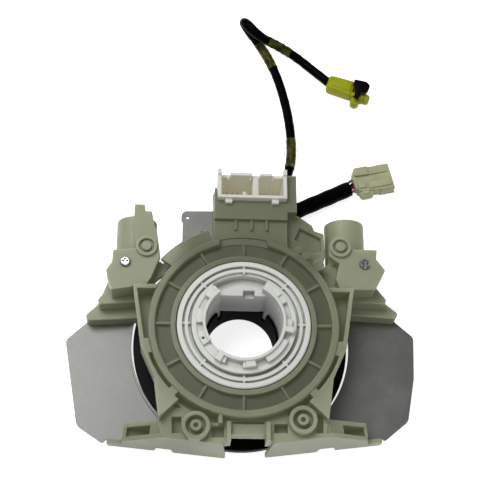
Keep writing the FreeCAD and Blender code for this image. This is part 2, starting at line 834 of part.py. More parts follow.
def make_boss(body, x, y, low):
    top = size.shelf_level + size.boss_height
    pad(body, (x, y, size.boss_radius), low, top)
    pocket(body, (x, y, size.boss_radius - size.boss_wall), size.shelf_level, top)
    pad(body, (x, y, size.boss_pin_radius), size.shelf_level, top)
    pocket(body, (x, y, size.boss_hole_radius), low, top)


# Each arm, with every x counted outward from the case's side: plans of its tiers from the top
# one down, plan of the column that carries the top one and of the web beside the case, centre
# of its boss and of its screw, and its barrel's place across and how far its mouth reaches
LEFT_ARM = {
    "side": -1,
    "tiers": [
        [(7.8, 42.4), (19.8, 41.0), (20.1, 34.3), (23.1, 29.6, 1), (19.9, 18.4), (8.8, 20.4),
         (8.8, 21.0), (2.0, 21.0), (-1.0, 26.0), (-5.4, 38.4, 3), (-3.4, 52.0, 4),
         (-2.0, 55.4), (-0.2, 64.4), (3.2, 64.4), (3.7, 68.4), (9.2, 68.4), (9.4, 59.8)],
        [(1.6, 40.0), (1.6, 17.0), (26.8, 14.8, 1), (27.4, 17.4, 1), (20.0, 27.0), (20.0, 40.0)],
        [(2.0, 40.0), (3.6, 11.0), (32.8, 9.0, 2), (34.6, 11.6, 2), (28.0, 18.0), (20.0, 40.0)],
    ],
    "column": [
        (19.8, 41.0), (20.1, 34.3), (23.1, 29.6, 1), (19.9, 18.4), (8.8, 20.4), (8.8, 21.0),
        (2.0, 21.0), (-1.0, 26.0), (-4.0, 34.0), (-4.0, 41.0),
    ],
    "web": [(8.0, 21.0), (0.0, 21.0), (-3.4, 27.2), (-10.0, 32.4), (-5.6, 38.0), (8.0, 38.0)],
    "boss": (2.0, 43.4),
    "screw": (13.1, 34.2),
    "barrel": (8.0, 62.6),
}
RIGHT_ARM = {
    "side": 1,
    "tiers": [
        [(10.0, 44.4), (22.2, 44.4), (21.6, 39.0), (26.2, 32.6, 1), (20.2, 21.5), (8.8, 21.0),
         (1.6, 21.0), (-0.6, 27.0), (1.6, 36.0), (-3.8, 40.0, 3), (-3.8, 49.4, 4), (5.6, 50.6, 4)],
        [(1.6, 42.0), (1.6, 19.0), (27.6, 18.0, 1), (28.2, 20.6, 1), (21.0, 30.0), (21.0, 42.0)],
        [(2.0, 42.0), (2.8, 15.0), (34.6, 13.2, 2), (36.4, 16.2, 2), (28.0, 23.0), (21.0, 42.0)],
    ],
    "column": [
        (21.9, 42.0), (21.6, 39.0), (26.2, 32.6, 1), (20.2, 21.5), (8.8, 21.0), (1.6, 21.0),
        (-0.6, 27.0), (1.6, 36.0), (-2.0, 40.0), (-2.0, 42.0),
    ],
    "web": [(8.0, 21.0), (-4.0, 21.0), (-8.4, 30.0), (-5.8, 37.0), (0.0, 40.0), (8.0, 40.0)],
    "boss": (2.2, 45.2),
    "screw": (15.0, 35.6),
    "barrel": (6.6, 63.6),
}


def make_arm(label, arm):
    """Stepped arm with the open barrel for a stalk switch and one screw through its plate."""
    body = new_body(label)
    plate_low = size.arm_plate_level - size.arm_plate_thickness
    side = arm["side"]
    plate, middle, foot = [beside_case(tier, side) for tier in arm["tiers"]]
    pad(body, foot, plate_top, size.arm_foot_level)
    pad(body, middle, size.arm_foot_level, size.arm_step_level)
    pad(body, beside_case(arm["column"], side), size.arm_step_level, plate_low)
    pad(body, plate, plate_low, size.arm_plate_level)
    web = beside_case(arm["web"], side)
    pad(body, web, size.arm_web_level - size.arm_web_thickness, size.arm_web_level)
    across, reach = beside_case([arm["barrel"]], side)[0]
    centre = (across, size.barrel_level)
    side_pad(body, centre + (size.barrel_radius,), as_size(-reach), size.barrel_length - reach)
    side_pad(body, centre + (size.barrel_radius - size.barrel_wall,), as_size(-reach),
             size.barrel_depth - reach, kind="PartDesign::Pocket")
    x, y = beside_case([arm["boss"]], side)[0]
    boss_top = size.arm_plate_level + size.arm_boss_height
    pad(body, (x, y, size.arm_boss_radius), size.arm_plate_level, boss_top)
    pocket(body, (x, y, size.arm_boss_radius - size.arm_boss_wall), size.arm_plate_level, boss_top)
    pad(body, (x, y, size.arm_pip_radius), size.arm_plate_level, boss_top)
    hole = size.screw_shank_radius + size.screw_clearance
    depth = size.arm_plate_level - size.screw_length - 1
    x, y = beside_case([arm["screw"]], side)[0]
    pocket(body, (x, y, hole), depth, size.arm_plate_level)
    clear_lip(body)


def make_screw(label, arm):
    """Pan head screw that holds an arm."""
    body = new_body(label)
    top = size.arm_plate_level + size.screw_head_height
    turn_profile(body, [
        (0, size.arm_plate_level - size.screw_length),
        (size.screw_shank_radius, size.arm_plate_level - size.screw_length),
        (size.screw_shank_radius, size.arm_plate_level),
        (size.screw_head_radius, size.arm_plate_level),
        (size.screw_head_radius, top - size.screw_head_edge),
        (size.screw_head_radius - size.screw_head_edge, top),
        (0, top),
    ])
    slot = size.screw_head_radius / 6
    reach = size.screw_head_radius * 0.6
    for outline in (rectangle(-reach, reach, -slot, slot), rectangle(-slot, slot, -reach, reach)):
        pocket(body, outline, top - size.screw_head_height / 2, top)
    x, y = beside_case([arm["screw"]], arm["side"])[0]
    body.Placement = FreeCAD.Placement(FreeCAD.Vector(x.number, y, 0), FreeCAD.Rotation())
    body.setExpression("Placement.Base.x", x.formula)


header_right = size.header_left + size.header_width
header_back = size.header_front + size.header_depth

# Plan of the low shelf between the header block and the right arm, with x counted outward
# from the case's side, and of the pocket in it
SIDE_SHELF = [
    (-24.0, 66.4), (-20.6, 66.4, 1), (-16.4, 63.8), (-12.0, 60.4, 1), (-11.0, 57.4),
    (-5.8, 55.6, 1), (-5.4, 42.0), (-10.0, 30.0), (-30.0, 40.0),
]
SIDE_POCKET = [(-22.0, 52.0), (-12.0, 44.0), (-7.4, 45.0), (-7.4, 53.0), (-19.0, 59.0)]


def make_block():
    """Block that carries the header, with the lead guide and a low shelf on its right."""
    body = new_body("header_block")
    left = size.header_left - size.block_cheek
    side = header_right + size.block_gap
    right = side + size.guide_width
    front = size.header_front - size.block_gap
    back = header_back - 1
    seat = size.header_base_level
    pad(body, rectangle(left, side, as_size(40), front), plate_top, size.block_level)
    pad(body, rectangle(left, side, front, back), plate_top, seat)
    cheek = rectangle(left, size.header_left - size.block_gap, front, front + 7.6)
    pad(body, cheek, seat, size.block_level)
    pad(body, rectangle(side, right, front - 6, back), plate_top, size.block_level)
    shelf = beside_case(SIDE_SHELF, 1)
    pad(body, shelf, size.strut_floor_level - 3, size.strut_floor_level + 3)
    slice_round(body, size.case_radius, plate_top, size.block_level)
    step = size.case_radius + size.block_step_width
    pocket(body, rectangle(left, side, as_size(40), step),
           size.block_level - size.block_step_drop, size.block_level)
    for x in (-4.3, 4.2, 12.4):
        pad(body, rectangle(x - 0.6, x + 0.6, size.case_radius + 4, step),
            size.block_level - size.block_step_drop - 1, size.block_level - 0.8)
    pocket(body, beside_case(SIDE_POCKET, 1), size.strut_floor_level, size.strut_floor_level + 3)
    clear_lip(body)


def make_header():
    """White two-bay plug header, open to the column side."""
    body = new_body("plug_header")
    left, right = size.header_left, header_right
    front, back = size.header_front, header_back
    wall, low, rim = size.header_wall, size.header_base_level, size.header_rim_level
    side = size.header_side_wall
    pad(body, rectangle(left, right, front, back), low, rim)
    for start, end in ((left, left + side), (right - side, right)):
        pad(body, rectangle(start, end, back - wall * 2, back), rim, rim + size.header_ear_rise)
    pocket(body, rectangle(left + side, right - side, back - wall, back), size.header_back_level, rim)
    for start, end in ((7.0, 19.0), (23.4, 30.2)):
        pad(body, rectangle(left + start, left + end, back - wall, back), size.header_back_level,
            size.header_back_level + size.header_back_rise)
    split = left + size.header_bay_split
    half = size.header_divider / 2
    floor = low + size.header_floor
    pocket(body, rectangle(left + side, split - half, front + wall, back - wall), floor, rim)
    pocket(body, rectangle(split + half, right - side, front + wall, back - wall), floor, rim)
    pocket(body, rectangle(split - half, split + half, front + wall, back - wall),
           size.header_back_level, rim)
    for start in (5.3, 17.6, 29.7):
        pad(body, rectangle(left + start, left + start + 1.2, back - wall - 1.2, back - wall + bite),
            floor, size.header_back_level)
    post = left + 14.6
    pad(body, rectangle(post - 0.9, post + 0.9, front + wall, front + wall + 2.6),
        floor, rim - 1.5)
    for x in (-8.4, 17.0):
        pad(body, rectangle(x - 1.9, x + 1.9, front - 2.4, front), size.block_level, rim - 1.4)


def make_pins():
    """Two rows of terminals in the left bay and one row of three in the right bay."""
    floor = size.header_base_level + size.header_floor
    split = size.header_left + size.header_bay_split
    places = []
    for column in range(4):
        for row in range(2):
            places.append((size.header_left + 5 + column * size.pin_pitch,
                           size.header_front + 6 + row * size.pin_pitch))
    for column in range(3):
        places.append((split + 4 + column * size.pin_pitch, size.header_front + 4.4))
    pins = []
    for index, (x, y) in enumerate(places):
        pin = doc.addObject("Part::Box", "terminal_%d" % index)
        bind(pin, "Length", size.pin_width)
        bind(pin, "Width", size.pin_width)
        bind(pin, "Height", size.pin_length)
        bind(pin, "Placement.Base.x", x)
        bind(pin, "Placement.Base.y", y)
        bind(pin, "Placement.Base.z", floor)
        pins.append(pin)
    group = doc.addObject("Part::Compound", "header_pins")
    group.Label = "header_pins"
    group.Links = pins
    parts.append(group)


# Leads: each route is a list of (x, y, z) points, from its outlet to its plug

AIRBAG_ROUTE = [
    (0.0, 60.0, 3.4), (0.0, 72.4, 3.4), (7.6, 84.4, 3.1), (18.4, 93.8, 3.1), (27.2, 104.4, 3.1),
    (30.9, 117.6, 3.1), (31.3, 132.4, 3.1), (29.9, 147.8, 3.1), (27.0, 163.4, 3.1),
    (22.8, 178.8, 3.1), (17.0, 192.4, 3.1), (10.8, 203.2, 3.1), (6.2, 209.6, 3.1),
    (3.2, 212.0, 6.7), (2.1, 211.1, 11.7), (3.6, 207.4, 15.2), (8.4, 201.8, 15.2),
    (14.6, 198.4, 12.8), (21.8, 197.0, 9.2), (29.8, 194.4, 5.8), (38.0, 189.4, 3.8),
    (45.8, 182.4, 3.4), (54.8, 173.6, 4.6),
]
HARNESS_ROUTE = [
    (14.6, 58.2, 4.7), (17.8, 71.0, 4.7), (26.0, 81.2, 4.6), (38.2, 87.6, 4.6),
    (52.0, 94.2, 4.6), (64.8, 100.6, 4.7),
]
# Stretches of the airbag lead that are wrapped in tape, as first and last corner
TAPES = [(5, 6), (10, 11), (18, 19)]


def rounded_edges(route):
    """Straight runs joined by tangent arcs, each as large as its two runs allow."""
    points = [FreeCAD.Vector(*place) for place in route]
    edges, radii = [], []
    spot = points[0]
    for before, corner, after in zip(points, points[1:], points[2:]):
        back, ahead = before - corner, after - corner
        short = min(back.Length, ahead.Length)
        half = (math.pi - back.getAngle(ahead)) / 2
        cut = 0.45 * short
        radius = cut / math.tan(half)
        start = corner + back.normalize() * cut
        end = corner + ahead.normalize() * cut
        inward = (back + ahead).normalize()
        middle = corner + inward * (radius / math.cos(half) - radius)
        edges.append(Part.LineSegment(spot, start).toShape())
        edges.append(Part.Arc(start, middle, end).toShape())
        radii.append(radius)
        spot = end
    edges.append(Part.LineSegment(spot, points[-1]).toShape())
    return edges, radii


def sweep_round(edges, radius):
    """A round bar along edges that follow one another."""
    path = Part.Wire(edges)
    start = edges[0].valueAt(edges[0].FirstParameter)
    heading = edges[0].tangentAt(edges[0].FirstParameter)
    profile = Part.Wire(Part.makeCircle(radius, start, heading))
    return path.makePipeShell([profile], True, False)


def add_shape(label, shape):
    feature = doc.addObject("Part::Feature", label)
    feature.Label = label
    feature.Shape = shape
    feature.Placement = FreeCAD.Placement()
    parts.append(feature)
    return feature


def make_lead(label, route, radius):
    edges, radii = rounded_edges(route)
    lead = sweep_round(edges, radius)
    length = sum(edge.Length for edge in edges)
    share = lead.Volume / (math.pi * radius ** 2 * length)
    print(label, "length %.1f" % length, "volume share %.4f" % share,
          "radii", " ".join("%.1f" % value for value in radii))
    add_shape(label, lead)


def make_tapes():
    """Tape wraps on the airbag lead, each a thin tube over some of its runs."""
    edges, _ = rounded_edges(AIRBAG_ROUTE)
    inner = size.lead_radius.number
    outer = inner + size.tape_thickness.number
    for number, (first, last) in enumerate(TAPES, start=1):
        stretch = edges[2 * first - 1:2 * last]
        wrap = sweep_round(stretch, outer).cut(sweep_round(stretch, inner))
        add_shape("lead_tape_%d" % number, wrap)


# Where each plug lies: its back face, its heading and how its body is set out from there
AIRBAG_HEADING = -18.7
SWITCH_HEADING = 13.0
SWITCH_PLUG_PLACE = (69.0, 104.0)


def lay_down(body, place, heading):
    base = FreeCAD.Vector(place[0], place[1], 0)
    body.Placement = FreeCAD.Placement(base, FreeCAD.Rotation(UPRIGHT, heading))


LOCK_START = 17.6


def make_airbag_plug():
    """Yellow two-pole plug with a side ear and a round nose."""
    body = new_body("airbag_plug")
    half = size.plug_width / 2
    corner = size.plug_corner
    low = 0.2
    pad(body, [(0, -half, corner), (size.plug_length, -half, corner),
               (size.plug_length, half, corner), (0, half, corner)], as_size(low), size.plug_height)
    nose = size.plug_length + 3.6
    pad(body, [(size.plug_length - 2, -half + 1), (nose, -half + 1.6, 2), (nose, half - 2.4, 2),
               (size.plug_length - 2, half - 2)], as_size(1.4), size.plug_height - 1.6)
    pad(body, (size.plug_length - 2.6, -half - 1.6, 2.7), as_size(1.4), size.plug_height - 2.4)
    slot = rectangle(LOCK_START - 0.3, LOCK_START + 3.3, -half + 1.6, half - 1.6)
    pocket(body, slot, size.plug_height - 4, size.plug_height)
    lay_down(body, AIRBAG_ROUTE[-1], AIRBAG_HEADING)


def make_plug_lock():
    """Black lock that lifts out of the yellow plug to free it."""
    body = new_body("plug_lock")
    half = size.plug_width / 2
    seat = size.plug_height + 0.3
    top = seat + size.lock_thickness
    pad(body, [(LOCK_START, -half - 2.4, 0.8), (LOCK_START + 3, -half - 2.4, 0.8),
               (LOCK_START + 3, 0), (LOCK_START + 5.6, 1.2, 1.6), (LOCK_START + 5.6, half + 0.8, 2),
               (LOCK_START - 2.6, half + 0.8, 1.2), (LOCK_START - 2.6, 1.6, 1), (LOCK_START, 1)],
        seat, top)
    pad(body, rectangle(LOCK_START, LOCK_START + 3, -half + 2, half - 2), seat - 3.4, seat)
    lay_down(body, AIRBAG_ROUTE[-1], AIRBAG_HEADING)


def make_switch_plug():
    """Ivory plug with a raised back, an open mouth at the front and a latch on its side."""
    body = new_body("switch_plug")
    half = size.switch_plug_width / 2
    length, height = size.switch_plug_length, size.switch_plug_height
    pad(body, [(0, -half + 1, 1.5), (length, -half, 1), (length, half, 1), (0, half - 0.6, 1.5)],
        as_size(0.2), height - 1.4)
    pad(body, [(0.8, -half + 4), (length - 5.4, -half + 4, 1), (length - 5.4, half - 4, 1),
               (0.8, half - 4)], height - 1.4, height)
    pad(body, (3.6, -half - 0.6, 2.8), as_size(1.5), height - 3)
    wall = 1.4
    mouth = rectangle(-half + wall, half - wall, as_size(1.6), height - 1.4 - wall)
    sketch = new_sketch(body, "YZ_Plane", length)
    draw_polygon(sketch, mouth)
    add_feature(body, "PartDesign::Pocket", sketch, 9)
    lay_down(body, SWITCH_PLUG_PLACE, SWITCH_HEADING)


def make_wires():
    """Short stretch of bare wires between the harness sleeve and its plug."""
    start = FreeCAD.Vector(*HARNESS_ROUTE[-1])
    end = FreeCAD.Vector(SWITCH_PLUG_PLACE[0], SWITCH_PLUG_PLACE[1], start.z)
    heading = (end - start).normalize()
    across = FreeCAD.Vector(-heading.y, heading.x, 0)
    radius = size.wire_radius.number
    wires = []
    for place in (-1.5, -0.5, 0.5, 1.5):
        offset = across * (place * (2 * radius + 0.25))
        length = (SWITCH_PLUG_FACE - start - offset).dot(SWITCH_NORMAL) / heading.dot(SWITCH_NORMAL)
        wires.append(Part.makeCylinder(radius, length, start + offset, heading))
    add_shape("switch_wires", Part.Compound(wires))


SWITCH_PLUG_FACE = FreeCAD.Vector(SWITCH_PLUG_PLACE[0], SWITCH_PLUG_PLACE[1], 0)
SWITCH_NORMAL = FreeCAD.Vector(math.cos(math.radians(SWITCH_HEADING)),
                               math.sin(math.radians(SWITCH_HEADING)), 0)


def make_terminal_block(label, start, sweep, inner, outer):
    """Overmoulded block that ends the ribbon cable on the hub or on the case."""
    body = new_body(label)
    low = case_bottom + size.floor_thickness + size.ribbon_lift
    turn_profile(body, rectangle(inner, outer, low, low + size.ribbon_width), start, sweep)


def check_and_write():
    """Stops on any failed object or shape, then writes one STEP file for each sub-part."""
    for item in doc.Objects:
        if any(word in ("Invalid", "Error") for word in item.State):
            raise SystemExit("failed object: %s %s" % (item.Label, item.State))
    os.makedirs("parts", exist_ok=True)
    for item in parts:
        shape = item.Shape
        if shape.isNull() or not shape.isValid():
            raise SystemExit("bad shape: %s" % item.Label)
        shape.exportStep(os.path.join("parts", item.Label + ".step"))


make_rotor_hub()
make_cam_collar()
make_front_disc()
make_outlet("airbag_outlet", AIRBAG_OUTLET)
make_outlet("switch_outlet", SWITCH_OUTLET)
make_case()
make_cover()
make_ribbon()
make_shield_plate()
make_switch_base()
make_arm("left_arm", LEFT_ARM)
make_arm("right_arm", RIGHT_ARM)
make_screw("left_screw", LEFT_ARM)
make_screw("right_screw", RIGHT_ARM)
make_block()
make_header()
make_pins()
make_terminal_block("hub_terminal", 250, 40, sleeve_radius, size.ribbon_radius - 0.5)
make_terminal_block("case_terminal", 70, 30, size.case_radius - size.case_wall - size.ribbon_clearance,
                    size.case_radius - size.case_wall)
make_lead("airbag_lead", AIRBAG_ROUTE, size.lead_radius.number)
make_lead("switch_harness", HARNESS_ROUTE, size.harness_radius.number)
make_tapes()
make_airbag_plug()
make_plug_lock()
make_switch_plug()
make_wires()
doc.recompute()
check_and_write()
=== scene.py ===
import math

import bmesh
import bpy
from bpy.props import FloatProperty, FloatVectorProperty, PointerProperty
from bpy.types import Operator, Panel, PropertyGroup
from mathutils import Matrix, Vector


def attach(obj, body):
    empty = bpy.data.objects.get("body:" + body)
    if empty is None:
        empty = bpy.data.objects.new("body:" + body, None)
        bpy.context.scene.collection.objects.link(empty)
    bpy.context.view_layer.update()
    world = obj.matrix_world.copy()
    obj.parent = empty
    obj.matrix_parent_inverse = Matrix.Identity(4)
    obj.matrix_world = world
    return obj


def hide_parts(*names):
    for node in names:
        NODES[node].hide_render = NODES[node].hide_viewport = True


bl_info = {
    "name": "Steering Clock Spring",
    "version": (1, 0, 0),
    "blender": (4, 5, 0),
    "location": "3D View > Sidebar > Clock Spring",
    "description": "Finishes, leads and small parts of a steering clock spring, and a studio round it",
    "category": "Object",
}

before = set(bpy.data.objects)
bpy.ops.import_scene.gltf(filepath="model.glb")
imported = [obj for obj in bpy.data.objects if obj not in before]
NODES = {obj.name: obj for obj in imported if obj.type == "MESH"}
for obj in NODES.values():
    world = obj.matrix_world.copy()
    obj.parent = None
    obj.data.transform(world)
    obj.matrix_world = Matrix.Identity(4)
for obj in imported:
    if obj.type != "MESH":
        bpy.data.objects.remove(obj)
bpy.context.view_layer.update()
MM = 0.001


# Sizes and colours that can be changed


def colour_property(name, description, default):
    return FloatVectorProperty(name=name, description=description, default=default,
                               size=3, min=0, max=1, subtype="COLOR")


def size_property(name, description, default):
    return FloatProperty(name=name, description=description, default=default,
                         min=0, unit="LENGTH", subtype="DISTANCE")


def share_property(name, description, default):
    return FloatProperty(name=name, description=description, default=default,
                         min=0, max=1, subtype="FACTOR")


class MouldingSettings(PropertyGroup):
    """Colours of the moulded pieces, with two painted shades of the milky plastic."""
    milky: colour_property("Milky plastic", "Arms and outer walls, where light comes through",
                           (0.285, 0.305, 0.205))
    # Painted shade: the milky plastic darkened where the black disc lies behind it
    milky_disc_shade: colour_property("Milky plastic over black", "The same plastic over the dark disc",
                                  (0.190, 0.198, 0.132))
    # Painted shade: the milky plastic darkened deep in its pockets
    milky_pocket_shade: colour_property("Milky recesses", "The same plastic deep in its pockets",
                                (0.105, 0.110, 0.062))
    rotor_white: colour_property("Rotor", "Sleeve, flange and collar of the rotor",
                                 (0.630, 0.645, 0.600))
    header_white: colour_property("Header", "Plug header", (0.630, 0.627, 0.575))
    black: colour_property("Black plastic", "Wheel side disc and lead outlets",
                           (0.0012, 0.0012, 0.0016))
    yellow: colour_property("Yellow plug", "Body of the yellow plug", (0.300, 0.320, 0.002))
    ivory: colour_property("Ivory plug", "Body of the ivory plug", (0.380, 0.390, 0.230))
    sheen: share_property("Roughness", "Roughness of the milky plastic", 0.42)


class LeadSettings(PropertyGroup):
    """Sizes and colours of the two leads."""
    airbag_width: size_property("Airbag lead", "Diameter of the long sleeved lead", 0.0055)
    harness_width: size_property("Switch harness", "Diameter of the thick sleeved lead", 0.0090)
    wire_width: size_property("Wire", "Diameter of a single wire", 0.0017)
    sleeve: colour_property("Sleeve", "Vinyl sleeve of both leads", (0.0008, 0.0008, 0.0014))
    tape: colour_property("Tape", "Film tape wound on the long lead", (0.066, 0.067, 0.006))


class TerminalSettings(PropertyGroup):
    """Sizes of the contact pins in the header."""
    width: size_property("Pin width", "Side of the square pin", 0.0009)
    height: size_property("Pin height", "From the bay's floor to the pin's point", 0.0120)
    pitch: size_property("Pitch", "From one pin to the next in its row", 0.0029)


class StageSettings(PropertyGroup):
    """Floor, light and camera."""
    floor: colour_property("Floor", "Pale floor under the part", (0.86, 0.86, 0.86))
    lens: FloatProperty(name="Lens", description="Focal length of the camera", default=86.5,
                        min=1, unit="CAMERA")
    key_power: FloatProperty(name="Key light", description="Power of the overhead softbox",
                             default=8.5, min=0, unit="POWER")
    fill_power: FloatProperty(name="Fill light", description="Power of the front softbox",
                              default=1.8, min=0, unit="POWER")
    sky: share_property("Sky", "Level of the light that comes from all round", 0.30)


class ClockSpringSettings(PropertyGroup):
    """All that can be changed, in four groups."""
    mouldings: PointerProperty(type=MouldingSettings)
    leads: PointerProperty(type=LeadSettings)
    terminals: PointerProperty(type=TerminalSettings)
    stage: PointerProperty(type=StageSettings)


# Materials


class Wire:
    """The output of a node, on which the signs of arithmetic add Math nodes."""

    def __init__(self, finish, socket):
        self.finish = finish
        self.socket = socket

    def math(self, operation, *terms):
        settings = {"operation": operation}
        return self.finish.add("ShaderNodeMath", settings, dict(enumerate(terms)))

    def __add__(self, other):
        return self.math("ADD", self, other)

    def __radd__(self, other):
        return self.math("ADD", other, self)

    def __sub__(self, other):
        return self.math("SUBTRACT", self, other)

    def __mul__(self, other):
        return self.math("MULTIPLY", self, other)

    def power(self, other):
        return self.math("POWER", self, other)

    def absolute(self):
        return self.math("ABSOLUTE", self)

    def between(self, start, end):
        """Rises softly from 0 at start to 1 at end."""
        settings = {"interpolation_type": "SMOOTHSTEP"}
        places = {"Value": self, "From Min": start, "From Max": end}
        return self.finish.add("ShaderNodeMapRange", settings, places)

    def swing(self, width):
        """Turns a noise, which lies about 0.5, into a sway about 0."""
        return (self - 0.5) * width


class Finish:
    """A material whose nodes are added one by one."""

    def __init__(self, name):
        self.material = bpy.data.materials.new(name)
        self.material.use_nodes = True
        self.tree = self.material.node_tree
        self.tree.nodes.clear()

    def add(self, kind, settings=None, inputs=None, output=0):
        """Adds a node: its settings first, then the values or links of its sockets."""
        node = self.tree.nodes.new(kind)
        for name, value in (settings or {}).items():
            setattr(node, name, value)
        for key, value in (inputs or {}).items():
            self.fill(node.inputs[key], value)
        return Wire(self, node.outputs[output]) if len(node.outputs) else None

    def fill(self, socket, value):
        if isinstance(value, Wire):
            self.tree.links.new(value.socket, socket)
        elif socket.type == "RGBA":
            socket.default_value = (*value[:3], 1)
        else:
            socket.default_value = value

    def place(self):
        return self.add("ShaderNodeTexCoord", output="Object")

    def axis(self, letter):
        """One of a spot's three coordinates, in metres."""
        return self.add("ShaderNodeSeparateXYZ", None, {0: self.place()}, letter)

    def reach(self):
        """Distance from the turning axis, in metres."""
        across, ahead = self.axis("X"), self.axis("Y")
        return (across * across + ahead * ahead).power(0.5)

    def mapped(self, coordinates, scale):
        """A spot's Object or UV coordinates, stretched along each axis."""
        where = self.add("ShaderNodeTexCoord", output=coordinates)
        return self.add("ShaderNodeMapping", None, {"Vector": where, "Scale": scale})

    def noise(self, scale, detail, roughness, where=None):
        places = {"Vector": where or self.place(), "Scale": scale, "Detail": detail,
                  "Roughness": roughness}
        return self.add("ShaderNodeTexNoise", None, places)

    def openness(self, distance):
        """1 in the open and less where walls stand within a distance."""
        return self.add("ShaderNodeAmbientOcclusion", {"samples": 6}, {"Distance": distance}, "AO")

    def mix(self, factor, first, second):
        """A colour between two, by a factor from 0 to 1."""
        node = self.tree.nodes.new("ShaderNodeMix")
        node.data_type = "RGBA"
        colours = [socket for socket in node.inputs if socket.type == "RGBA"]
        self.fill(node.inputs[0], factor)
        self.fill(colours[0], first)
        self.fill(colours[1], second)
        out = [socket for socket in node.outputs if socket.type == "RGBA"][0]
        return Wire(self, out)

    def bevel(self, radius):
        return self.add("ShaderNodeBevel", {"samples": 4}, {"Radius": radius}, "Normal")

    def bump(self, height, distance, strength, normal=None):
        places = {"Height": height, "Distance": distance, "Strength": strength}
        if normal is not None:
            places["Normal"] = normal
        return self.add("ShaderNodeBump", None, places, "Normal")

    def grain(self, scale, depth, strength, edge):
        """Normal of a finely grained surface whose edges look rounded."""
        return self.bump(self.noise(scale, 2, 0.5), depth, strength, self.bevel(edge))

    def shade(self, **inputs):
        """Ends the material in one principled shader."""
        places = {name.replace("_", " "): value for name, value in inputs.items()}
        shader = self.add("ShaderNodeBsdfPrincipled", None, places, "BSDF")
        self.add("ShaderNodeOutputMaterial", None, {"Surface": shader})
        return self.material


# Where a finish changes, in metres. A pair starts where the change is nothing and ends where it is
# full: levels above the wheel side, distances from the turning axis, or places along X or Y.
# Painted shade down the rotor's bore
BORE_LEVELS, BORE_WALL = (0.0515, 0.026), (0.0225, 0.0205)
# Painted warm shade and glow down in the header's bays
BAY_LEVELS = (0.0485, 0.036)
# Roughness round the disc's mouth, and where the painted shade over the disc's edge sets in
DISC_MOUTH, DISC_EDGE = (0.027, 0.024), (0.060, 0.046)
# Painted shade on the block under the header: from its front, and across on both sides of its middle
BLOCK_FRONT, BLOCK_SIDES, BLOCK_MIDDLE = (0.014, 0.036), (0.046, 0.030), 0.0045
# Painted shade on the tray's front wall on the left
LEFT_FRONT_Y, LEFT_FRONT_X = (-0.047, -0.052), (-0.012, -0.028)
# Painted shade down the cover's ribbed channel: both edges, how softly they show, and the levels of its
# floor and ribs
CHANNEL_INNER, CHANNEL_OUTER, CHANNEL_SOFT = 0.0382, 0.0461, 0.0003
CHANNEL_FLOOR, CHANNEL_RIBS = (0.0426, 0.0421), (0.0450, 0.0446)
# How far off the walls of a pocket and of the rotor's grooves painted shade still darkens a spot,
# how much the edge of the painted shade over the disc wanders, and the share of the open tone that the
# deepest pocket keeps
POCKET_REACH, GROOVE_REACH, EDGE_WANDER, LEAST_OPEN = 0.010, 0.006, 0.006, 0.35
# Share of the header's red, green and blue that is left down in its bays, as painted warm shade
BAY_SHADE = (0.86, 0.83, 0.73)
# Colours of what isn't moulded
SHEET_SHADES = ((0.150, 0.150, 0.143), (0.185, 0.185, 0.177))
SCREW_STEEL = (0.36, 0.37, 0.38)
PIN_METAL = (0.70, 0.62, 0.42)
RIBBON_FILM = (0.60, 0.50, 0.32)


def tint(colour, share):
    return tuple(value * share for value in colour)


def milky_finish(settings):
    """Milky unfilled plastic: palest where light comes through, with painted shade over the black disc,
    in its pockets and in other dim places, and a painted glow in its pockets.
    """
    made = Finish("milky_plastic")
    pale, backed, deep = (tuple(colour) for colour in
                          (settings.milky, settings.milky_disc_shade, settings.milky_pocket_shade))
    cloud, streak = made.noise(90, 4, 0.6), made.noise(30, 3, 0.55)
    reach, level = made.reach(), made.axis("Z")
    across, ahead = made.axis("X"), made.axis("Y")
    # Painted shade of the black disc behind the plastic, with a wandering edge
    disc_shade_mask = (reach + streak.swing(EDGE_WANDER)).between(*DISC_EDGE)
    # Painted shade in the pockets: low where walls stand close
    open_share = (made.openness(POCKET_REACH) + cloud.swing(0.25)).between(0.20, 0.90)
    # Painted shade on the block under the header
    block = (ahead.between(*BLOCK_FRONT)
             * (across - BLOCK_MIDDLE).absolute().between(*BLOCK_SIDES))
    # Painted shade on the tray's front wall on the left
    left_front_shade = ahead.between(*LEFT_FRONT_Y) * across.between(*LEFT_FRONT_X)
    # Painted shade down in the ribbed channel, between its ribs and on its floor
    channel = (reach.between(CHANNEL_INNER - CHANNEL_SOFT, CHANNEL_INNER + CHANNEL_SOFT)
               * reach.between(CHANNEL_OUTER + CHANNEL_SOFT, CHANNEL_OUTER - CHANNEL_SOFT))
    colour = made.mix(disc_shade_mask, pale, backed)
    # Painted shade: pockets darken towards the deep colour
    colour = made.mix(open_share * (1 - LEAST_OPEN) + LEAST_OPEN, deep, colour)
    colour = made.mix((streak - 0.5).absolute() * 0.5, colour, tint(pale, 1.15))
    # Each painted shade darkens its place by its strength
    for place, strength, shade in ((block, 0.7, tint(deep, 0.85)),
                                   (left_front_shade, 0.4, deep),
                                   (channel * level.between(*CHANNEL_RIBS), 0.5, deep),
                                   (channel * level.between(*CHANNEL_FLOOR), 0.9, tint(deep, 0.72))):
        colour = made.mix(place * strength, colour, shade)
    # Emission paints a glow deep in the pockets, standing in for light that comes through the plastic
    return made.shade(Base_Color=colour, Roughness=settings.sheen + cloud.swing(0.2),
                      Normal=made.grain(1400, 0.00004, 0.5, 0.0005),
                      Subsurface_Weight=0.6, Subsurface_Radius=(0.008, 0.008, 0.006),
                      Subsurface_Scale=1.0, Specular_IOR_Level=0.3, Emission_Strength=1.0,
                      Emission_Color=made.mix(open_share, tint(deep, 0.30), (0, 0, 0)))


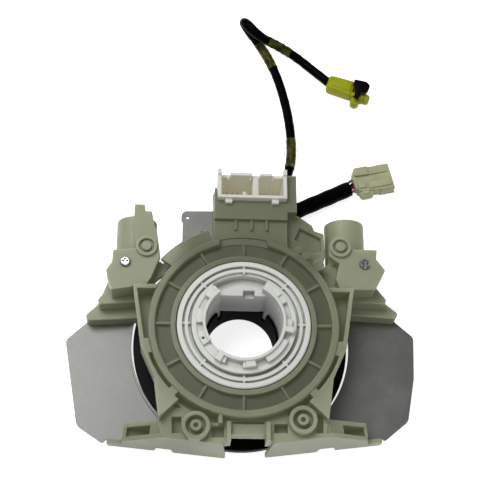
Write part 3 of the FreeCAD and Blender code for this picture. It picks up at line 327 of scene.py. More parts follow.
def plain_plastic(name, colour, roughness, gloss=0.5):
    """Satin moulded plastic with a fine grain and slight clouds of tone."""
    made = Finish(name)
    cloud = made.noise(120, 3, 0.55)
    tone = made.mix(cloud.between(0.3, 0.7), tint(colour, 0.90), tint(colour, 1.05))
    return made.shade(Base_Color=tone, Roughness=roughness + cloud.swing(0.15),
                      Normal=made.grain(1500, 0.00003, 0.5, 0.0003), Specular_IOR_Level=gloss)


def rotor_finish(settings):
    """White moulded rotor, with painted shade down in its grooves and down the bore."""
    made = Finish("rotor_plastic")
    colour = tuple(settings.rotor_white)
    cloud = made.noise(70, 3, 0.5)
    # Painted shade in the grooves, less where a spot is open
    open_share = (made.openness(GROOVE_REACH) + cloud.swing(0.2)).between(0.15, 0.85)
    tone = made.mix(open_share, tint(colour, 0.82), colour)
    # Painted shade down the bore
    bore_shade = made.axis("Z").between(*BORE_LEVELS) * made.reach().between(*BORE_WALL)
    tone = made.mix(bore_shade * 0.85, tone, tint(colour, 0.22))
    return made.shade(Base_Color=tone, Roughness=0.4 + cloud.swing(0.1),
                      Normal=made.grain(1600, 0.00003, 0.4, 0.0004), Subsurface_Weight=0.4,
                      Subsurface_Radius=(0.005, 0.005, 0.005), Subsurface_Scale=1.0)


def header_finish(settings):
    """White header plastic, with a painted warm shade and a painted glow down in its two bays."""
    made = Finish("header_plastic")
    colour = tuple(settings.header_white)
    warm = tuple(value * share for value, share in zip(colour, BAY_SHADE))
    cloud = made.noise(120, 3, 0.55)
    # Painted warm shade and glow, fuller deeper down in the bays
    depth = (made.axis("Z") + cloud.swing(0.004)).between(*BAY_LEVELS)
    return made.shade(Base_Color=made.mix(depth, colour, warm), Roughness=0.38 + cloud.swing(0.15),
                      Normal=made.grain(1500, 0.00003, 0.5, 0.0003), Subsurface_Weight=0.5,
                      Subsurface_Radius=(0.006, 0.006, 0.005), Subsurface_Scale=1.0,
                      # Emission paints a glow down in the bays
                      Emission_Color=made.mix(depth, (0, 0, 0), tint(warm, 0.20)),
                      Emission_Strength=1.0)


def disc_finish(settings):
    """Black moulded disc, dull round the bore where the column passes."""
    made = Finish("black_plastic")
    cloud = made.noise(120, 3, 0.55)
    near_bore = made.reach().between(*DISC_MOUTH)
    return made.shade(Base_Color=tuple(settings.black), Specular_IOR_Level=0.08,
                      Roughness=0.45 + near_bore * 0.5 + cloud.swing(0.1),
                      Normal=made.grain(1500, 0.00003, 0.5, 0.0004))


def sheet_finish():
    """Satin rolled sheet with faint lengthwise streaks and small scuffs."""
    made = Finish("shield_sheet")
    streaks = made.noise(260, 4, 0.6, made.mapped("Object", (1.0, 14.0, 1.0)))
    scuffs = made.noise(60, 5, 0.65)
    return made.shade(Base_Color=made.mix(scuffs.between(0.35, 0.75), *SHEET_SHADES), Metallic=0.85,
                      Roughness=0.44 + streaks.swing(0.12) + scuffs.swing(0.18),
                      Normal=made.bump(streaks, 0.00002, 0.4, made.bevel(0.0002)))


def metal_finish(name, colour, roughness):
    """Plated metal with a fine grain."""
    made = Finish(name)
    grain, wear = made.noise(2200, 3, 0.6), made.noise(500, 4, 0.6)
    tone = made.mix(wear.between(0.35, 0.7), tint(colour, 0.8), colour)
    return made.shade(Base_Color=tone, Metallic=1.0, Roughness=roughness + wear.swing(0.2),
                      Normal=made.bump(grain, 0.00002, 0.4, made.bevel(0.0001)))


def sleeve_finish(settings):
    """Black vinyl sleeve with creases across it, by its own lengthwise map."""
    made = Finish("vinyl_sleeve")
    creases = made.noise(1.0, 4, 0.6, made.mapped("UV", (260.0, 2.0, 1.0)))
    dust = made.noise(700, 3, 0.6)
    colour = tuple(settings.sleeve)
    return made.shade(Base_Color=made.mix(dust.between(0.5, 0.8), colour, tint(colour, 2.0)),
                      Roughness=0.30 + creases * 0.15, Normal=made.bump(creases, 0.0006, 0.5),
                      Specular_IOR_Level=0.02)


def tape_finish(settings):
    """Olive film tape, wrinkled where it is wound, with painted shade in its wrinkles and painted
    highlights on a few folds.
    """
    made = Finish("film_tape")
    wrinkles = made.noise(1.0, 3, 0.6, made.mapped("UV", (150.0, 5.0, 1.0)))
    folds = made.noise(1.0, 1, 0.5, made.mapped("UV", (75.0, 1.5, 1.0)))
    colour = tuple(settings.tape)
    # Painted shade in the wrinkles
    tone = made.mix(wrinkles.between(0.35, 0.65), tint(colour, 0.15), colour)
    # Painted highlights on a few folds
    tone = made.mix(folds.between(0.58, 0.66) * 0.7, tone, tint(colour, 4.0))
    return made.shade(Base_Color=tone, Roughness=0.35, Normal=made.bump(wrinkles, 0.0006, 0.8),
                      Specular_IOR_Level=0.10)


def dress(node, finish):
    """Gives a CAD piece its finish."""
    piece = NODES[node]
    piece.data.materials.clear()
    piece.data.materials.append(finish)


# Meshes


def new_piece(name, mesh, finish, body):
    piece = bpy.data.objects.new(name, mesh)
    bpy.context.scene.collection.objects.link(piece)
    piece.data.materials.clear()
    piece.data.materials.append(finish)
    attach(piece, body)
    return piece


def millimetres(places):
    return [Vector(place) * MM for place in places]


def smooth_line(route):
    """Points along a route's smooth line, read from its NURBS spline."""
    curve = bpy.data.curves.new("route", "CURVE")
    curve.dimensions = "3D"
    curve.resolution_u = 10
    spline = curve.splines.new("NURBS")
    spline.points.add(len(route) - 1)
    for point, place in zip(spline.points, route):
        point.co = (*place, 1)
    spline.order_u = 3
    spline.use_endpoint_u = True
    holder = bpy.data.objects.new("route", curve)
    mesh = bpy.data.meshes.new_from_object(holder)
    line = [vertex.co.copy() for vertex in mesh.vertices]
    bpy.data.objects.remove(holder)
    bpy.data.curves.remove(curve)
    bpy.data.meshes.remove(mesh)
    return line


def line_lengths(line):
    lengths = [0.0]
    for before, after in zip(line, line[1:]):
        lengths.append(lengths[-1] + (after - before).length)
    return lengths


def line_frames(line):
    """For each point, two directions square to the line that turn as little as they can."""
    headings = []
    for i in range(len(line)):
        step = line[min(i + 1, len(line) - 1)] - line[max(i - 1, 0)]
        headings.append(step.normalized())
    side = headings[0].orthogonal().normalized()
    frames = []
    for heading in headings:
        side = (side - heading * side.dot(heading)).normalized()
        frames.append((side, heading.cross(side)))
    return frames


def tube_mesh(name, line, radius, sides=20):
    """A closed tube along a line. Radius takes the length from the start and the angle."""
    lengths, frames = line_lengths(line), line_frames(line)
    made = bmesh.new()
    plan = made.loops.layers.uv.new("UVMap")
    rings = []
    for point, length, (side, up) in zip(line, lengths, frames):
        ring = []
        for j in range(sides):
            angle = 2 * math.pi * j / sides
            outward = side * math.cos(angle) + up * math.sin(angle)
            ring.append(made.verts.new(point + outward * radius(length, angle)))
        rings.append(ring)
    for i in range(len(rings) - 1):
        for j in range(sides):
            k = (j + 1) % sides
            face = made.faces.new((rings[i][j], rings[i][k], rings[i + 1][k], rings[i + 1][j]))
            face.smooth = True
            marks = ((i, j), (i, j + 1), (i + 1, j + 1), (i + 1, j))
            for loop, (row, column) in zip(face.loops, marks):
                loop[plan].uv = (lengths[row], column / sides)
    made.faces.new(list(reversed(rings[0])))
    made.faces.new(rings[-1])
    mesh = bpy.data.meshes.new(name)
    made.to_mesh(mesh)
    made.free()
    return mesh


# Flats that make up a plate's round edge and its round corner
EDGE_STEPS, CORNER_STEPS = 3, 5
# Least rounding of a plate's corner in millimetres, and the angle in degrees from which an edge is sharp
LEAST_ROUNDING = 0.05
SHARP_ANGLE = 35
# Share of its radius by which a disc's square is rounded; all of it would leave sides of no length
DISC_ROUNDING = 0.98


def moved_in(outline, by):
    """The outline with every side moved in by a distance; its corners are (x, y, rounding)."""
    count = len(outline)
    sides = []
    for i in range(count):
        start, end = Vector(outline[i][:2]), Vector(outline[(i + 1) % count][:2])
        along = (end - start).normalized()
        inward = Vector((-along.y, along.x))
        sides.append((start + inward * by, along))
    corners = []
    for i in range(count):
        (start, before), (spot, after) = sides[i - 1], sides[i]
        share = (spot - start).cross(after) / before.cross(after)
        corners.append((*(start + before * share), max(outline[i][2] - by, LEAST_ROUNDING)))
    return corners


def round_off(outline):
    """Points round an outline whose corners are rounded."""
    count = len(outline)
    points = []
    for i in range(count):
        corner = Vector(outline[i][:2])
        back = (Vector(outline[i - 1][:2]) - corner).normalized()
        ahead = (Vector(outline[(i + 1) % count][:2]) - corner).normalized()
        cut = outline[i][2] / math.tan(back.angle(ahead) / 2)
        first, last = corner + back * cut, corner + ahead * cut
        for k in range(CORNER_STEPS + 1):
            share = k / CORNER_STEPS
            rest = 1 - share
            points.append(first * rest ** 2 + corner * 2 * share * rest + last * share ** 2)
    return points


def add_slab(made, outline, low, high, edge):
    """A closed plate with rounded corners and edges, in millimetres."""
    turns = [math.pi / 2 * k / EDGE_STEPS for k in range(EDGE_STEPS + 1)]
    bands = [(edge * (1 - math.sin(turn)), edge * (1 - math.cos(turn))) for turn in turns]
    levels = ([(inset, low + rise) for inset, rise in bands]
              + [(inset, high - rise) for inset, rise in reversed(bands)])
    rings = []
    for inset, level in levels:
        points = round_off(moved_in(outline, inset))
        rings.append([made.verts.new((*(point * MM), level * MM)) for point in points])
    for lower, upper in zip(rings, rings[1:]):
        for j in range(len(lower)):
            k = (j + 1) % len(lower)
            made.faces.new((lower[j], lower[k], upper[k], upper[j])).smooth = True
    made.faces.new(list(reversed(rings[0])))
    made.faces.new(rings[-1])


def slab_mesh(name, slabs, place, heading):
    """One mesh of several plates, set on the table at a place and turned to a heading."""
    made = bmesh.new()
    for outline, low, high, edge in slabs:
        add_slab(made, outline, low, high, edge)
    turn = Matrix.Rotation(math.radians(heading), 4, "Z")
    made.transform(Matrix.Translation(Vector((*place, 0)) * MM) @ turn)
    mesh = bpy.data.meshes.new(name)
    made.to_mesh(mesh)
    made.free()
    mesh.set_sharp_from_angle(angle=math.radians(SHARP_ANGLE))
    return mesh


def block_outline(x0, y0, x1, y1, rounding):
    return [(x0, y0, rounding), (x1, y0, rounding), (x1, y1, rounding), (x0, y1, rounding)]


def disc_outline(x, y, radius):
    """A nearly round outline: a square whose corners are rounded almost to its middle."""
    return block_outline(x - radius, y - radius, x + radius, y + radius, radius * DISC_ROUNDING)


class Tree:
    """A Geometry Nodes tree whose named inputs are set on a piece and then applied."""

    def __init__(self, name):
        self.group = bpy.data.node_groups.new(name, "GeometryNodeTree")
        self.group.interface.new_socket("Geometry", in_out="OUTPUT", socket_type="NodeSocketGeometry")
        self.values = {}
        self.start = None

    def entry(self, name, kind, value):
        """A named input of the tree and the value it gets."""
        socket = self.group.interface.new_socket(name, in_out="INPUT", socket_type=kind)
        self.values[socket.identifier] = value
        self.start = self.start or self.group.nodes.new("NodeGroupInput")
        return self.start.outputs[name]

    def add(self, kind, inputs, **settings):
        node = self.group.nodes.new(kind)
        for name, value in settings.items():
            setattr(node, name, value)
        for key, value in inputs.items():
            if isinstance(value, bpy.types.NodeSocket):
                self.group.links.new(value, node.inputs[key])
            else:
                node.inputs[key].default_value = value
        return node.outputs[0]

    def join(self, shapes):
        node = self.group.nodes.new("GeometryNodeJoinGeometry")
        for shape in shapes:
            self.group.links.new(shape, node.inputs[0])
        return node.outputs[0]

    def bake(self, shape, finish, name):
        """Realizes the shape with its material and gives it as a plain mesh."""
        solid = self.add("GeometryNodeRealizeInstances", {0: shape})
        dressed = self.add("GeometryNodeSetMaterial", {0: solid, "Material": finish})
        self.group.links.new(dressed, self.group.nodes.new("NodeGroupOutput").inputs[0])
        holder = bpy.data.objects.new(name, bpy.data.meshes.new(name + "_start"))
        bpy.context.scene.collection.objects.link(holder)
        modifier = holder.modifiers.new(name, "NODES")
        modifier.node_group = self.group
        for identifier, value in self.values.items():
            modifier[identifier] = value
        graph = bpy.context.evaluated_depsgraph_get()
        mesh = bpy.data.meshes.new_from_object(holder.evaluated_get(graph))
        mesh.name = name
        bpy.data.objects.remove(holder)
        return mesh


# Routes of the two sleeves, in millimetres, from their outlets on
AIRBAG_ROUTE = [
    (0.0, 60.0, 3.4), (0.0, 72.4, 3.4), (7.6, 84.4, 3.1), (18.4, 93.8, 3.1), (27.2, 104.4, 3.1),
    (30.9, 117.6, 3.1), (31.3, 132.4, 3.1), (29.9, 147.8, 3.1), (27.0, 163.4, 3.1),
    (22.8, 178.8, 3.1), (17.0, 192.4, 3.1), (10.8, 203.2, 3.1), (6.2, 209.6, 3.1),
    (3.2, 212.0, 6.7), (2.1, 211.1, 11.7), (3.6, 207.4, 15.2), (8.4, 201.8, 15.2),
    (14.6, 198.4, 12.8), (21.8, 197.0, 9.2), (29.8, 194.4, 5.8), (38.0, 189.4, 3.8),
    (45.8, 182.4, 3.4), (54.8, 173.6, 4.6),
]
HARNESS_ROUTE = [
    (14.6, 58.2, 4.7), (17.8, 71.0, 4.7), (26.0, 81.2, 4.6), (38.2, 87.6, 4.6),
    (52.0, 94.2, 4.6), (64.8, 100.6, 4.7),
]
# Each plug: the middle of its back face, its heading in degrees, and its plates in millimetres, each
# with its outline, lower and upper level and the rounding of its edges
YELLOW_PLACE, YELLOW_HEADING = (54.8, 173.6), -18.7
YELLOW_SLABS = [
    ([(-0.4, -5.9, 2.6), (16.4, -6.4, 2.4), (16.8, 4.9, 2.4), (-0.6, 4.0, 2.6)], 0.2, 8.5, 2.2),
    ([(2.2, -3.4, 1.0), (14.4, -3.8, 1.0), (14.6, 2.8, 1.0), (2.0, 2.1, 1.0)], 7.8, 9.0, 0.5),
    ([(15.6, -5.8, 1.0), (24.0, -5.4, 2.0), (24.6, 3.4, 2.0), (15.6, 4.8, 1.0)], 0.8, 5.6, 0.5),
    ([(15.6, -6.2, 1.0), (23.4, -5.9, 1.0), (23.4, -3.7, 0.6), (15.6, -3.7, 0.6)], 0.8, 8.6, 0.5),
    ([(15.6, 3.6, 0.5), (23.4, 3.6, 0.5), (23.4, 5.0, 0.6), (15.6, 5.0, 0.6)], 0.8, 8.6, 0.4),
    (disc_outline(19.2, -7.9, 2.7), 1.2, 6.8, 0.6),
    (disc_outline(25.0, -3.4, 2.2), 1.2, 7.0, 0.6),
]
IVORY_PLACE, IVORY_HEADING = (69.0, 104.0), 13.0
IVORY_SLABS = [
    ([(-0.2, -6.4, 1.6), (13.6, -7.8, 0.6), (13.6, 8.1, 0.6), (-0.8, 8.1, 2.0)], 0.2, 8.2, 0.6),
    (block_outline(-1.6, -4.6, 2.0, 5.2, 1.2), 0.8, 7.8, 0.6),
    (block_outline(13.0, -8.1, 21.4, 8.1, 0.4), 6.8, 8.2, 0.3),
    (block_outline(13.0, -8.1, 22.4, 8.1, 0.4), 0.2, 1.6, 0.3),
    (block_outline(13.0, 6.9, 21.6, 8.1, 0.3), 0.8, 7.6, 0.3),
    (block_outline(13.0, -8.1, 21.6, -6.9, 0.3), 0.8, 7.6, 0.3),
    ([(3.6, 2.5, 0.6), (19.2, 2.7, 0.6), (19.2, 7.4, 0.8), (3.6, 7.4, 0.8)], 7.8, 9.2, 0.4),
    ([(6.2, -6.2, 0.8), (19.8, -6.2, 0.8), (19.8, -1.2, 0.6), (6.2, -1.6, 0.6)], 7.8, 9.2, 0.4),
    ([(0.0, -5.0, 1.0), (4.8, -5.4, 1.0), (4.8, -1.8, 0.6), (3.2, 0.4, 0.6), (0.0, 1.0, 0.8)],
     7.8, 9.2, 0.4),
    ([(-0.6, 2.8, 1.4), (7.8, 2.4, 1.0), (8.4, 8.0, 1.0), (-0.6, 8.0, 1.6)], 7.8, 10.0, 0.5),
    ([(0.6, -10.2, 2.4), (8.0, -10.0, 2.8), (10.2, -6.2, 1.0), (0.4, -5.6, 0.8)], 1.6, 7.0, 0.9),
    ([(1.6, -8.9, 1.2), (6.0, -9.0, 1.2), (6.2, -6.8, 0.6), (1.6, -6.4, 0.6)], 6.6, 8.0, 0.5),
]
LOCK_SLABS = [
    ([(15.0, 0.6, 1.0), (18.0, -3.0, 0.8), (17.6, -8.2, 0.7), (20.8, -8.6, 0.7), (21.6, -3.2, 1.0),
      (25.0, -2.0, 2.4), (25.2, 3.4, 2.4), (22.4, 5.2, 1.4), (15.0, 4.4, 1.0)], 9.3, 10.7, 0.4),
    (block_outline(17.6, -3.2, 20.6, 3.2, 0.3), 6.0, 9.6, 0.2),
]
# Colours of the four wires that leave the harness, in order across it
WIRE_COLOURS = [(0.260, 0.165, 0.150), (0.130, 0.006, 0.006), (0.004, 0.004, 0.004),
                (0.150, 0.120, 0.100)]
# Gap between two wires, in millimetres
WIRE_GAP = 0.06
# How far a wire bows up or down, in metres, how much wider apart the wires lie where they bow, and how
# close together they start, as shares of their spacing
WIRE_RISE, WIRE_SPREAD, WIRE_PINCH = 0.0005, 0.1, 0.8
# How far a wire's ends stand inside the sleeve and the plug, and how near to both it bends, in metres
WIRE_IN_SLEEVE, WIRE_IN_PLUG, WIRE_BEND = 0.002, 0.0015, 0.001
# Waves of a sleeve's surface: their share of its radius, how many go round it, and for each lead how
# fast they follow along it and wind round it, in radians a metre
CREASE_SHARE, CREASES_ROUND = 0.03, 2
AIRBAG_RIPPLE, AIRBAG_TWIST = 900, 200
HARNESS_RIPPLE, HARNESS_TWIST = 600, 0
# Thickness of the wound tape and depth of its wrinkles, in metres, how fast they follow along the tape,
# in radians a metre, and how many go round it
TAPE_THICKNESS, TAPE_WRINKLE = 0.00022, 0.00012
TAPE_RIPPLE, WRINKLES_ROUND = 1500, 3
# Pins: length of the square bar and of its point and the level of the point's foot, as shares of the
# height, and the point's radii as shares of the width
BAR_SHARE, POINT_SHARE, POINT_LEVEL = 0.9, 0.14, 0.86
POINT_TIP, POINT_FOOT = 0.3, 0.62
# First pin of each row in the header's bays, in millimetres, and how many the row has
PIN_ROWS = [((-8.95, 77.45, 25.0), 4), ((-8.95, 80.35, 25.0), 4), ((11.05, 75.85, 25.0), 3)]
# Stretches of the airbag lead that are wrapped in tape, in metres from its outlet
TAPE_STRETCHES = [(0.0625, 0.0845), (0.1335, 0.1545), (0.1965, 0.2135)]
# Where the same lead turns back over itself, and how much wider its creased sleeve is there
FOLD_MIDDLE, FOLD_REACH, FOLD_SWELL = 0.182, 0.012, 0.20
# The camera's place in metres, its tilt and roll in degrees, and its sensor in millimetres
CAMERA_PLACE = (-0.0347, -0.2044, 0.6107)
CAMERA_TILT, CAMERA_ROLL = 24.0, 3.3
SENSOR_WIDTH = 36.0
# How far the floor reaches each way and lies below the part, in metres, and what it gives off where seen
FLOOR_REACH, FLOOR_DROP = 15.0, 0.0002
FLOOR_GLOW = (0.8, 0.8, 0.8)
# Place, aim and side of each softbox, in metres
KEY_SOFTBOX = (-0.40, 0.30, 1.0), (0.0, 0.03, 0.02), 0.62
FILL_SOFTBOX = (0.30, -0.75, 0.75), (0.0, 0.0, 0.02), 0.7


def crease(length, angle, ripple, twist):
    """How far a sleeve's creased surface lies off its radius, as a share of it."""
    return CREASE_SHARE * math.sin(length * ripple) * math.sin(angle * CREASES_ROUND + length * twist)


class CLOCKSPRING_OT_stage(Operator):
    """Floor, lights and camera at the photograph's viewing angle"""
    bl_idname = "clockspring.stage"
    bl_label = "Studio"

    def execute(self, context):
        settings = context.scene.clock_spring.stage
        scene = context.scene
        scene.view_settings.view_transform = "Standard"
        self.make_camera(scene, settings)
        self.make_floor(settings)
        self.make_sky(scene, settings)
        self.add_softbox("key_softbox", *KEY_SOFTBOX, settings.key_power)
        self.add_softbox("fill_softbox", *FILL_SOFTBOX, settings.fill_power)
        return {"FINISHED"}

    def make_camera(self, scene, settings):
        data = bpy.data.cameras.new("photo_camera")
        data.sensor_width, data.lens = SENSOR_WIDTH, settings.lens
        camera = bpy.data.objects.new("photo_camera", data)
        tilt, roll = math.radians(CAMERA_TILT), math.radians(CAMERA_ROLL)
        right = Vector((math.cos(roll), 0, math.sin(roll)))
        ahead = Vector((math.sin(roll) * math.cos(tilt), math.sin(tilt),
                        -math.cos(roll) * math.cos(tilt)))
        up = right.cross(ahead)
        turned = Matrix((right, up, -ahead)).transposed().to_4x4()
        camera.matrix_world = Matrix.Translation(Vector(CAMERA_PLACE)) @ turned
        scene.collection.objects.link(camera)
        scene.camera = camera

    def make_floor(self, settings):
        mesh = bpy.data.meshes.new("floor")
        corners = [(-FLOOR_REACH, -FLOOR_REACH, 0), (FLOOR_REACH, -FLOOR_REACH, 0),
                   (FLOOR_REACH, FLOOR_REACH, 0), (-FLOOR_REACH, FLOOR_REACH, 0)]
        mesh.from_pydata(corners, [], [(0, 1, 2, 3)])
        floor = bpy.data.objects.new("floor", mesh)
        floor.location.z = -FLOOR_DROP
        bpy.context.scene.collection.objects.link(floor)
        made = Finish("pale_floor")
        speckle = made.noise(40, 3, 0.5)
        tone = made.mix(speckle, tint(settings.floor, 0.98), tuple(settings.floor))
        straight, mirrored, through = (
            made.add("ShaderNodeLightPath", output=name)
            for name in ("Is Camera Ray", "Is Glossy Ray", "Is Transmission Ray"))
        glow = made.mix(straight + mirrored + through, (0, 0, 0), FLOOR_GLOW)
        mesh.materials.append(made.shade(Base_Color=tone, Roughness=0.9, Emission_Color=glow,
                                         Emission_Strength=1.0, Specular_IOR_Level=0.0))

    def make_sky(self, scene, settings):
        world = bpy.data.worlds.new("studio_sky")
        world.use_nodes = True
        background = world.node_tree.nodes["Background"]
        background.inputs["Color"].default_value = (1, 1, 1, 1)
        background.inputs["Strength"].default_value = settings.sky
        scene.world = world

    def add_softbox(self, name, place, aim, side, power):
        data = bpy.data.lights.new(name, "AREA")
        data.shape, data.size, data.energy = "SQUARE", side, power
        lamp = bpy.data.objects.new(name, data)
        lamp.location = place
        lamp.rotation_euler = (Vector(aim) - Vector(place)).to_track_quat("-Z", "Y").to_euler()
        bpy.context.scene.collection.objects.link(lamp)


class CLOCKSPRING_OT_leads(Operator):
    """The two sleeved leads, with their tape, wires and plugs"""
    bl_idname = "clockspring.leads"
    bl_label = "Leads"

    def execute(self, context):
        settings = context.scene.clock_spring.leads
        mouldings = context.scene.clock_spring.mouldings
        sleeve = sleeve_finish(settings)
        self.make_airbag_lead(settings, mouldings, sleeve)
        self.make_harness(settings, mouldings, sleeve)
        return {"FINISHED"}

    def make_plug(self, name, slabs, place, heading, finish, node, body="rotor"):
        plug = new_piece(name, slab_mesh(name, slabs, place, heading), finish, body)
        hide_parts(node)
        return plug

    def make_airbag_lead(self, settings, mouldings, sleeve):
        line = smooth_line(millimetres(AIRBAG_ROUTE))
        radius = settings.airbag_width / 2

        def sleeve_radius(length, angle):
            from_fold = min(1.0, abs(length - FOLD_MIDDLE) / FOLD_REACH)
            swell = FOLD_SWELL * (1 + math.cos(math.pi * from_fold)) / 2
            return radius * (1 + crease(length, angle, AIRBAG_RIPPLE, AIRBAG_TWIST) + swell)

        lead = new_piece("airbag_sleeve", tube_mesh("airbag_sleeve", line, sleeve_radius), sleeve,
                         "rotor")
        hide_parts("airbag_lead")
        yellow = plain_plastic("yellow_plastic", mouldings.yellow, roughness=0.42, gloss=0.2)
        plug = self.make_plug("yellow_plug", YELLOW_SLABS, YELLOW_PLACE, YELLOW_HEADING, yellow,
                              "airbag_plug")
        black = plain_plastic("lock_plastic", mouldings.black, roughness=0.35, gloss=0.08)
        lock = self.make_plug("yellow_plug_lock", LOCK_SLABS, YELLOW_PLACE, YELLOW_HEADING, black,
                              "plug_lock", "lock")
        tapes = [self.make_tape(number, line, stretch, radius, settings)
                 for number, stretch in enumerate(TAPE_STRETCHES, start=1)]

    def make_tape(self, number, line, stretch, radius, settings):
        lengths = line_lengths(line)
        span = [point for point, length in zip(line, lengths) if stretch[0] <= length <= stretch[1]]

        def wrap_radius(length, angle):
            wrinkle = math.sin(length * TAPE_RIPPLE + angle * WRINKLES_ROUND)
            return radius + TAPE_THICKNESS + TAPE_WRINKLE * wrinkle

        tape = new_piece("tape_wrap_%d" % number, tube_mesh("tape_wrap", span, wrap_radius),
                         tape_finish(settings), "rotor")
        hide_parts("lead_tape_%d" % number)
        return tape

    def make_wires(self, settings, start):
        """Four bowed wires side by side, from the sleeve's end into the ivory plug."""
        plug_back = Vector((*Vector(IVORY_PLACE) * MM, start.z))
        ahead = (plug_back - start).normalized()
        across = Vector((-ahead.y, ahead.x, 0))
        heading = math.radians(IVORY_HEADING)
        inward = Vector((math.cos(heading), math.sin(heading), 0))
        middle = (1 + len(WIRE_COLOURS)) / 2
        wires = []
        for number, colour in enumerate(WIRE_COLOURS, start=1):
            aside = across * (number - middle) * (settings.wire_width + WIRE_GAP * MM)
            bow = Vector((0, 0, WIRE_RISE * (-1) ** number)) + aside * WIRE_SPREAD
            line = smooth_line([start - ahead * WIRE_IN_SLEEVE + aside * WIRE_PINCH,
                                start + ahead * WIRE_BEND + aside + bow,
                                plug_back - inward * WIRE_BEND + aside + bow,
                                plug_back + inward * WIRE_IN_PLUG + aside])
            mesh = tube_mesh("wire", line, lambda length, angle: settings.wire_width / 2, sides=12)
            insulation = plain_plastic("wire_insulation_%d" % number, colour, roughness=0.4, gloss=0.2)
            wire = new_piece("wire_%d" % number, mesh, insulation, "rotor")
            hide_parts("switch_wires")
            wires.append(wire)
        return wires

    def make_harness(self, settings, mouldings, sleeve):
        line = smooth_line(millimetres(HARNESS_ROUTE))
        radius = settings.harness_width / 2

        def sleeve_radius(length, angle):
            return radius * (1 + crease(length, angle, HARNESS_RIPPLE, HARNESS_TWIST))

        mesh = tube_mesh("harness_sleeve", line, sleeve_radius, sides=28)
        harness = new_piece("harness_sleeve", mesh, sleeve, "rotor")
        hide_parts("switch_harness")
        ivory = plain_plastic("ivory_plastic", mouldings.ivory, roughness=0.42, gloss=0.2)
        plug = self.make_plug("ivory_plug", IVORY_SLABS, IVORY_PLACE, IVORY_HEADING, ivory,
                              "switch_plug")
        wires = self.make_wires(settings, line[-1])


class CLOCKSPRING_OT_terminals(Operator):
    """Rows of pointed contact pins in the header's two bays"""
    bl_idname = "clockspring.terminals"
    bl_label = "Header terminals"

    def execute(self, context):
        settings = context.scene.clock_spring.terminals
        metal = metal_finish("pin_metal", PIN_METAL, roughness=0.3)
        tree = Tree("header_terminals")
        width = tree.entry("Pin width", "NodeSocketFloat", settings.width)
        height = tree.entry("Pin height", "NodeSocketFloat", settings.height)
        pitch = tree.entry("Pitch", "NodeSocketFloat", settings.pitch)
        pin = self.pin_shape(tree, width, height)
        rows = [self.row(tree, pitch, place, count) for place, count in PIN_ROWS]
        pins = tree.add("GeometryNodeInstanceOnPoints", {"Points": tree.join(rows), "Instance": pin})
        mesh = tree.bake(pins, metal, "header_terminals")
        terminals = new_piece("header_terminals", mesh, metal, "stator")
        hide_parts("header_pins")
        return {"FINISHED"}

    def pin_shape(self, tree, width, height):
        """A square bar and a blunt point whose foot stands inside it, so that both stay closed."""
        def scaled(value, factor):
            return tree.add("ShaderNodeMath", {0: value, 1: factor}, operation="MULTIPLY")

        def raised(shape, share, **turn):
            lift = tree.add("ShaderNodeCombineXYZ", {"Z": scaled(height, share)})
            return tree.add("GeometryNodeTransform", {0: shape, "Translation": lift, **turn})

        size = tree.add("ShaderNodeCombineXYZ", {"X": width, "Y": width, "Z": scaled(height, BAR_SHARE)})
        bar = raised(tree.add("GeometryNodeMeshCube", {"Size": size}), BAR_SHARE / 2)
        cone = tree.add("GeometryNodeMeshCone", {"Vertices": 4, "Radius Top": scaled(width, POINT_TIP),
                                                 "Radius Bottom": scaled(width, POINT_FOOT),
                                                 "Depth": scaled(height, POINT_SHARE)})
        point = raised(cone, POINT_LEVEL, Rotation=(0, 0, math.pi / 4))
        return tree.join([bar, point])

    def row(self, tree, pitch, place, count):
        step = tree.add("ShaderNodeCombineXYZ", {"X": pitch})
        start = Vector(place) * MM
        return tree.add("GeometryNodeMeshLine", {"Count": count, "Start Location": start, "Offset": step})


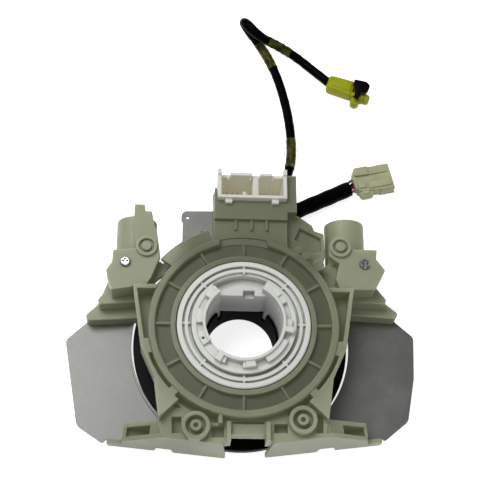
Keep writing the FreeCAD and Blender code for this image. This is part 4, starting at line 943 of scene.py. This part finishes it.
class CLOCKSPRING_OT_finishes(Operator):
    """Finishes of the pieces that come from the solids"""
    bl_idname = "clockspring.finishes"
    bl_label = "Finishes"

    def execute(self, context):
        settings = context.scene.clock_spring.mouldings
        steel = metal_finish("screw_steel", SCREW_STEEL, roughness=0.22)
        film = plain_plastic("ribbon_film", RIBBON_FILM, roughness=0.25)
        wearers = [
            (milky_finish(settings), ["ribbon_case", "cover_ring", "switch_base", "left_arm",
                                      "right_arm", "header_block"]),
            (rotor_finish(settings), ["rotor_hub", "cam_collar"]),
            (disc_finish(settings), ["front_disc", "airbag_outlet", "switch_outlet",
                                     "hub_terminal", "case_terminal"]),
            (header_finish(settings), ["plug_header"]),
            (sheet_finish(), ["shield_plate"]),
            (steel, ["left_screw", "right_screw"]),
            (film, ["ribbon_cable"]),
        ]
        for finish, nodes in wearers:
            for node in nodes:
                dress(node, finish)
        return {"FINISHED"}


OPERATORS = [CLOCKSPRING_OT_stage, CLOCKSPRING_OT_leads, CLOCKSPRING_OT_terminals,
             CLOCKSPRING_OT_finishes]


class CLOCKSPRING_PT_parts(Panel):
    """Shows what can be changed and a button for each group of pieces"""
    bl_idname = "CLOCKSPRING_PT_parts"
    bl_label = "Clock Spring"
    bl_space_type = "VIEW_3D"
    bl_region_type = "UI"
    bl_category = "Clock Spring"

    def draw(self, context):
        settings = context.scene.clock_spring
        for group in (settings.mouldings, settings.leads, settings.terminals, settings.stage):
            box = self.layout.box()
            for name in group.bl_rna.properties.keys():
                if name not in ("rna_type", "name"):
                    box.prop(group, name)
        for operator in OPERATORS:
            self.layout.operator(operator.bl_idname)


CLASSES = [MouldingSettings, LeadSettings, TerminalSettings, StageSettings, ClockSpringSettings,
           *OPERATORS, CLOCKSPRING_PT_parts]


def register():
    for item in CLASSES:
        bpy.utils.register_class(item)
    bpy.types.Scene.clock_spring = PointerProperty(type=ClockSpringSettings)


def unregister():
    del bpy.types.Scene.clock_spring
    for item in reversed(CLASSES):
        bpy.utils.unregister_class(item)


def main():
    register()
    for operator in OPERATORS:
        group, name = operator.bl_idname.split(".")
        getattr(getattr(bpy.ops, group), name)()


if __name__ == "__main__":
    main()
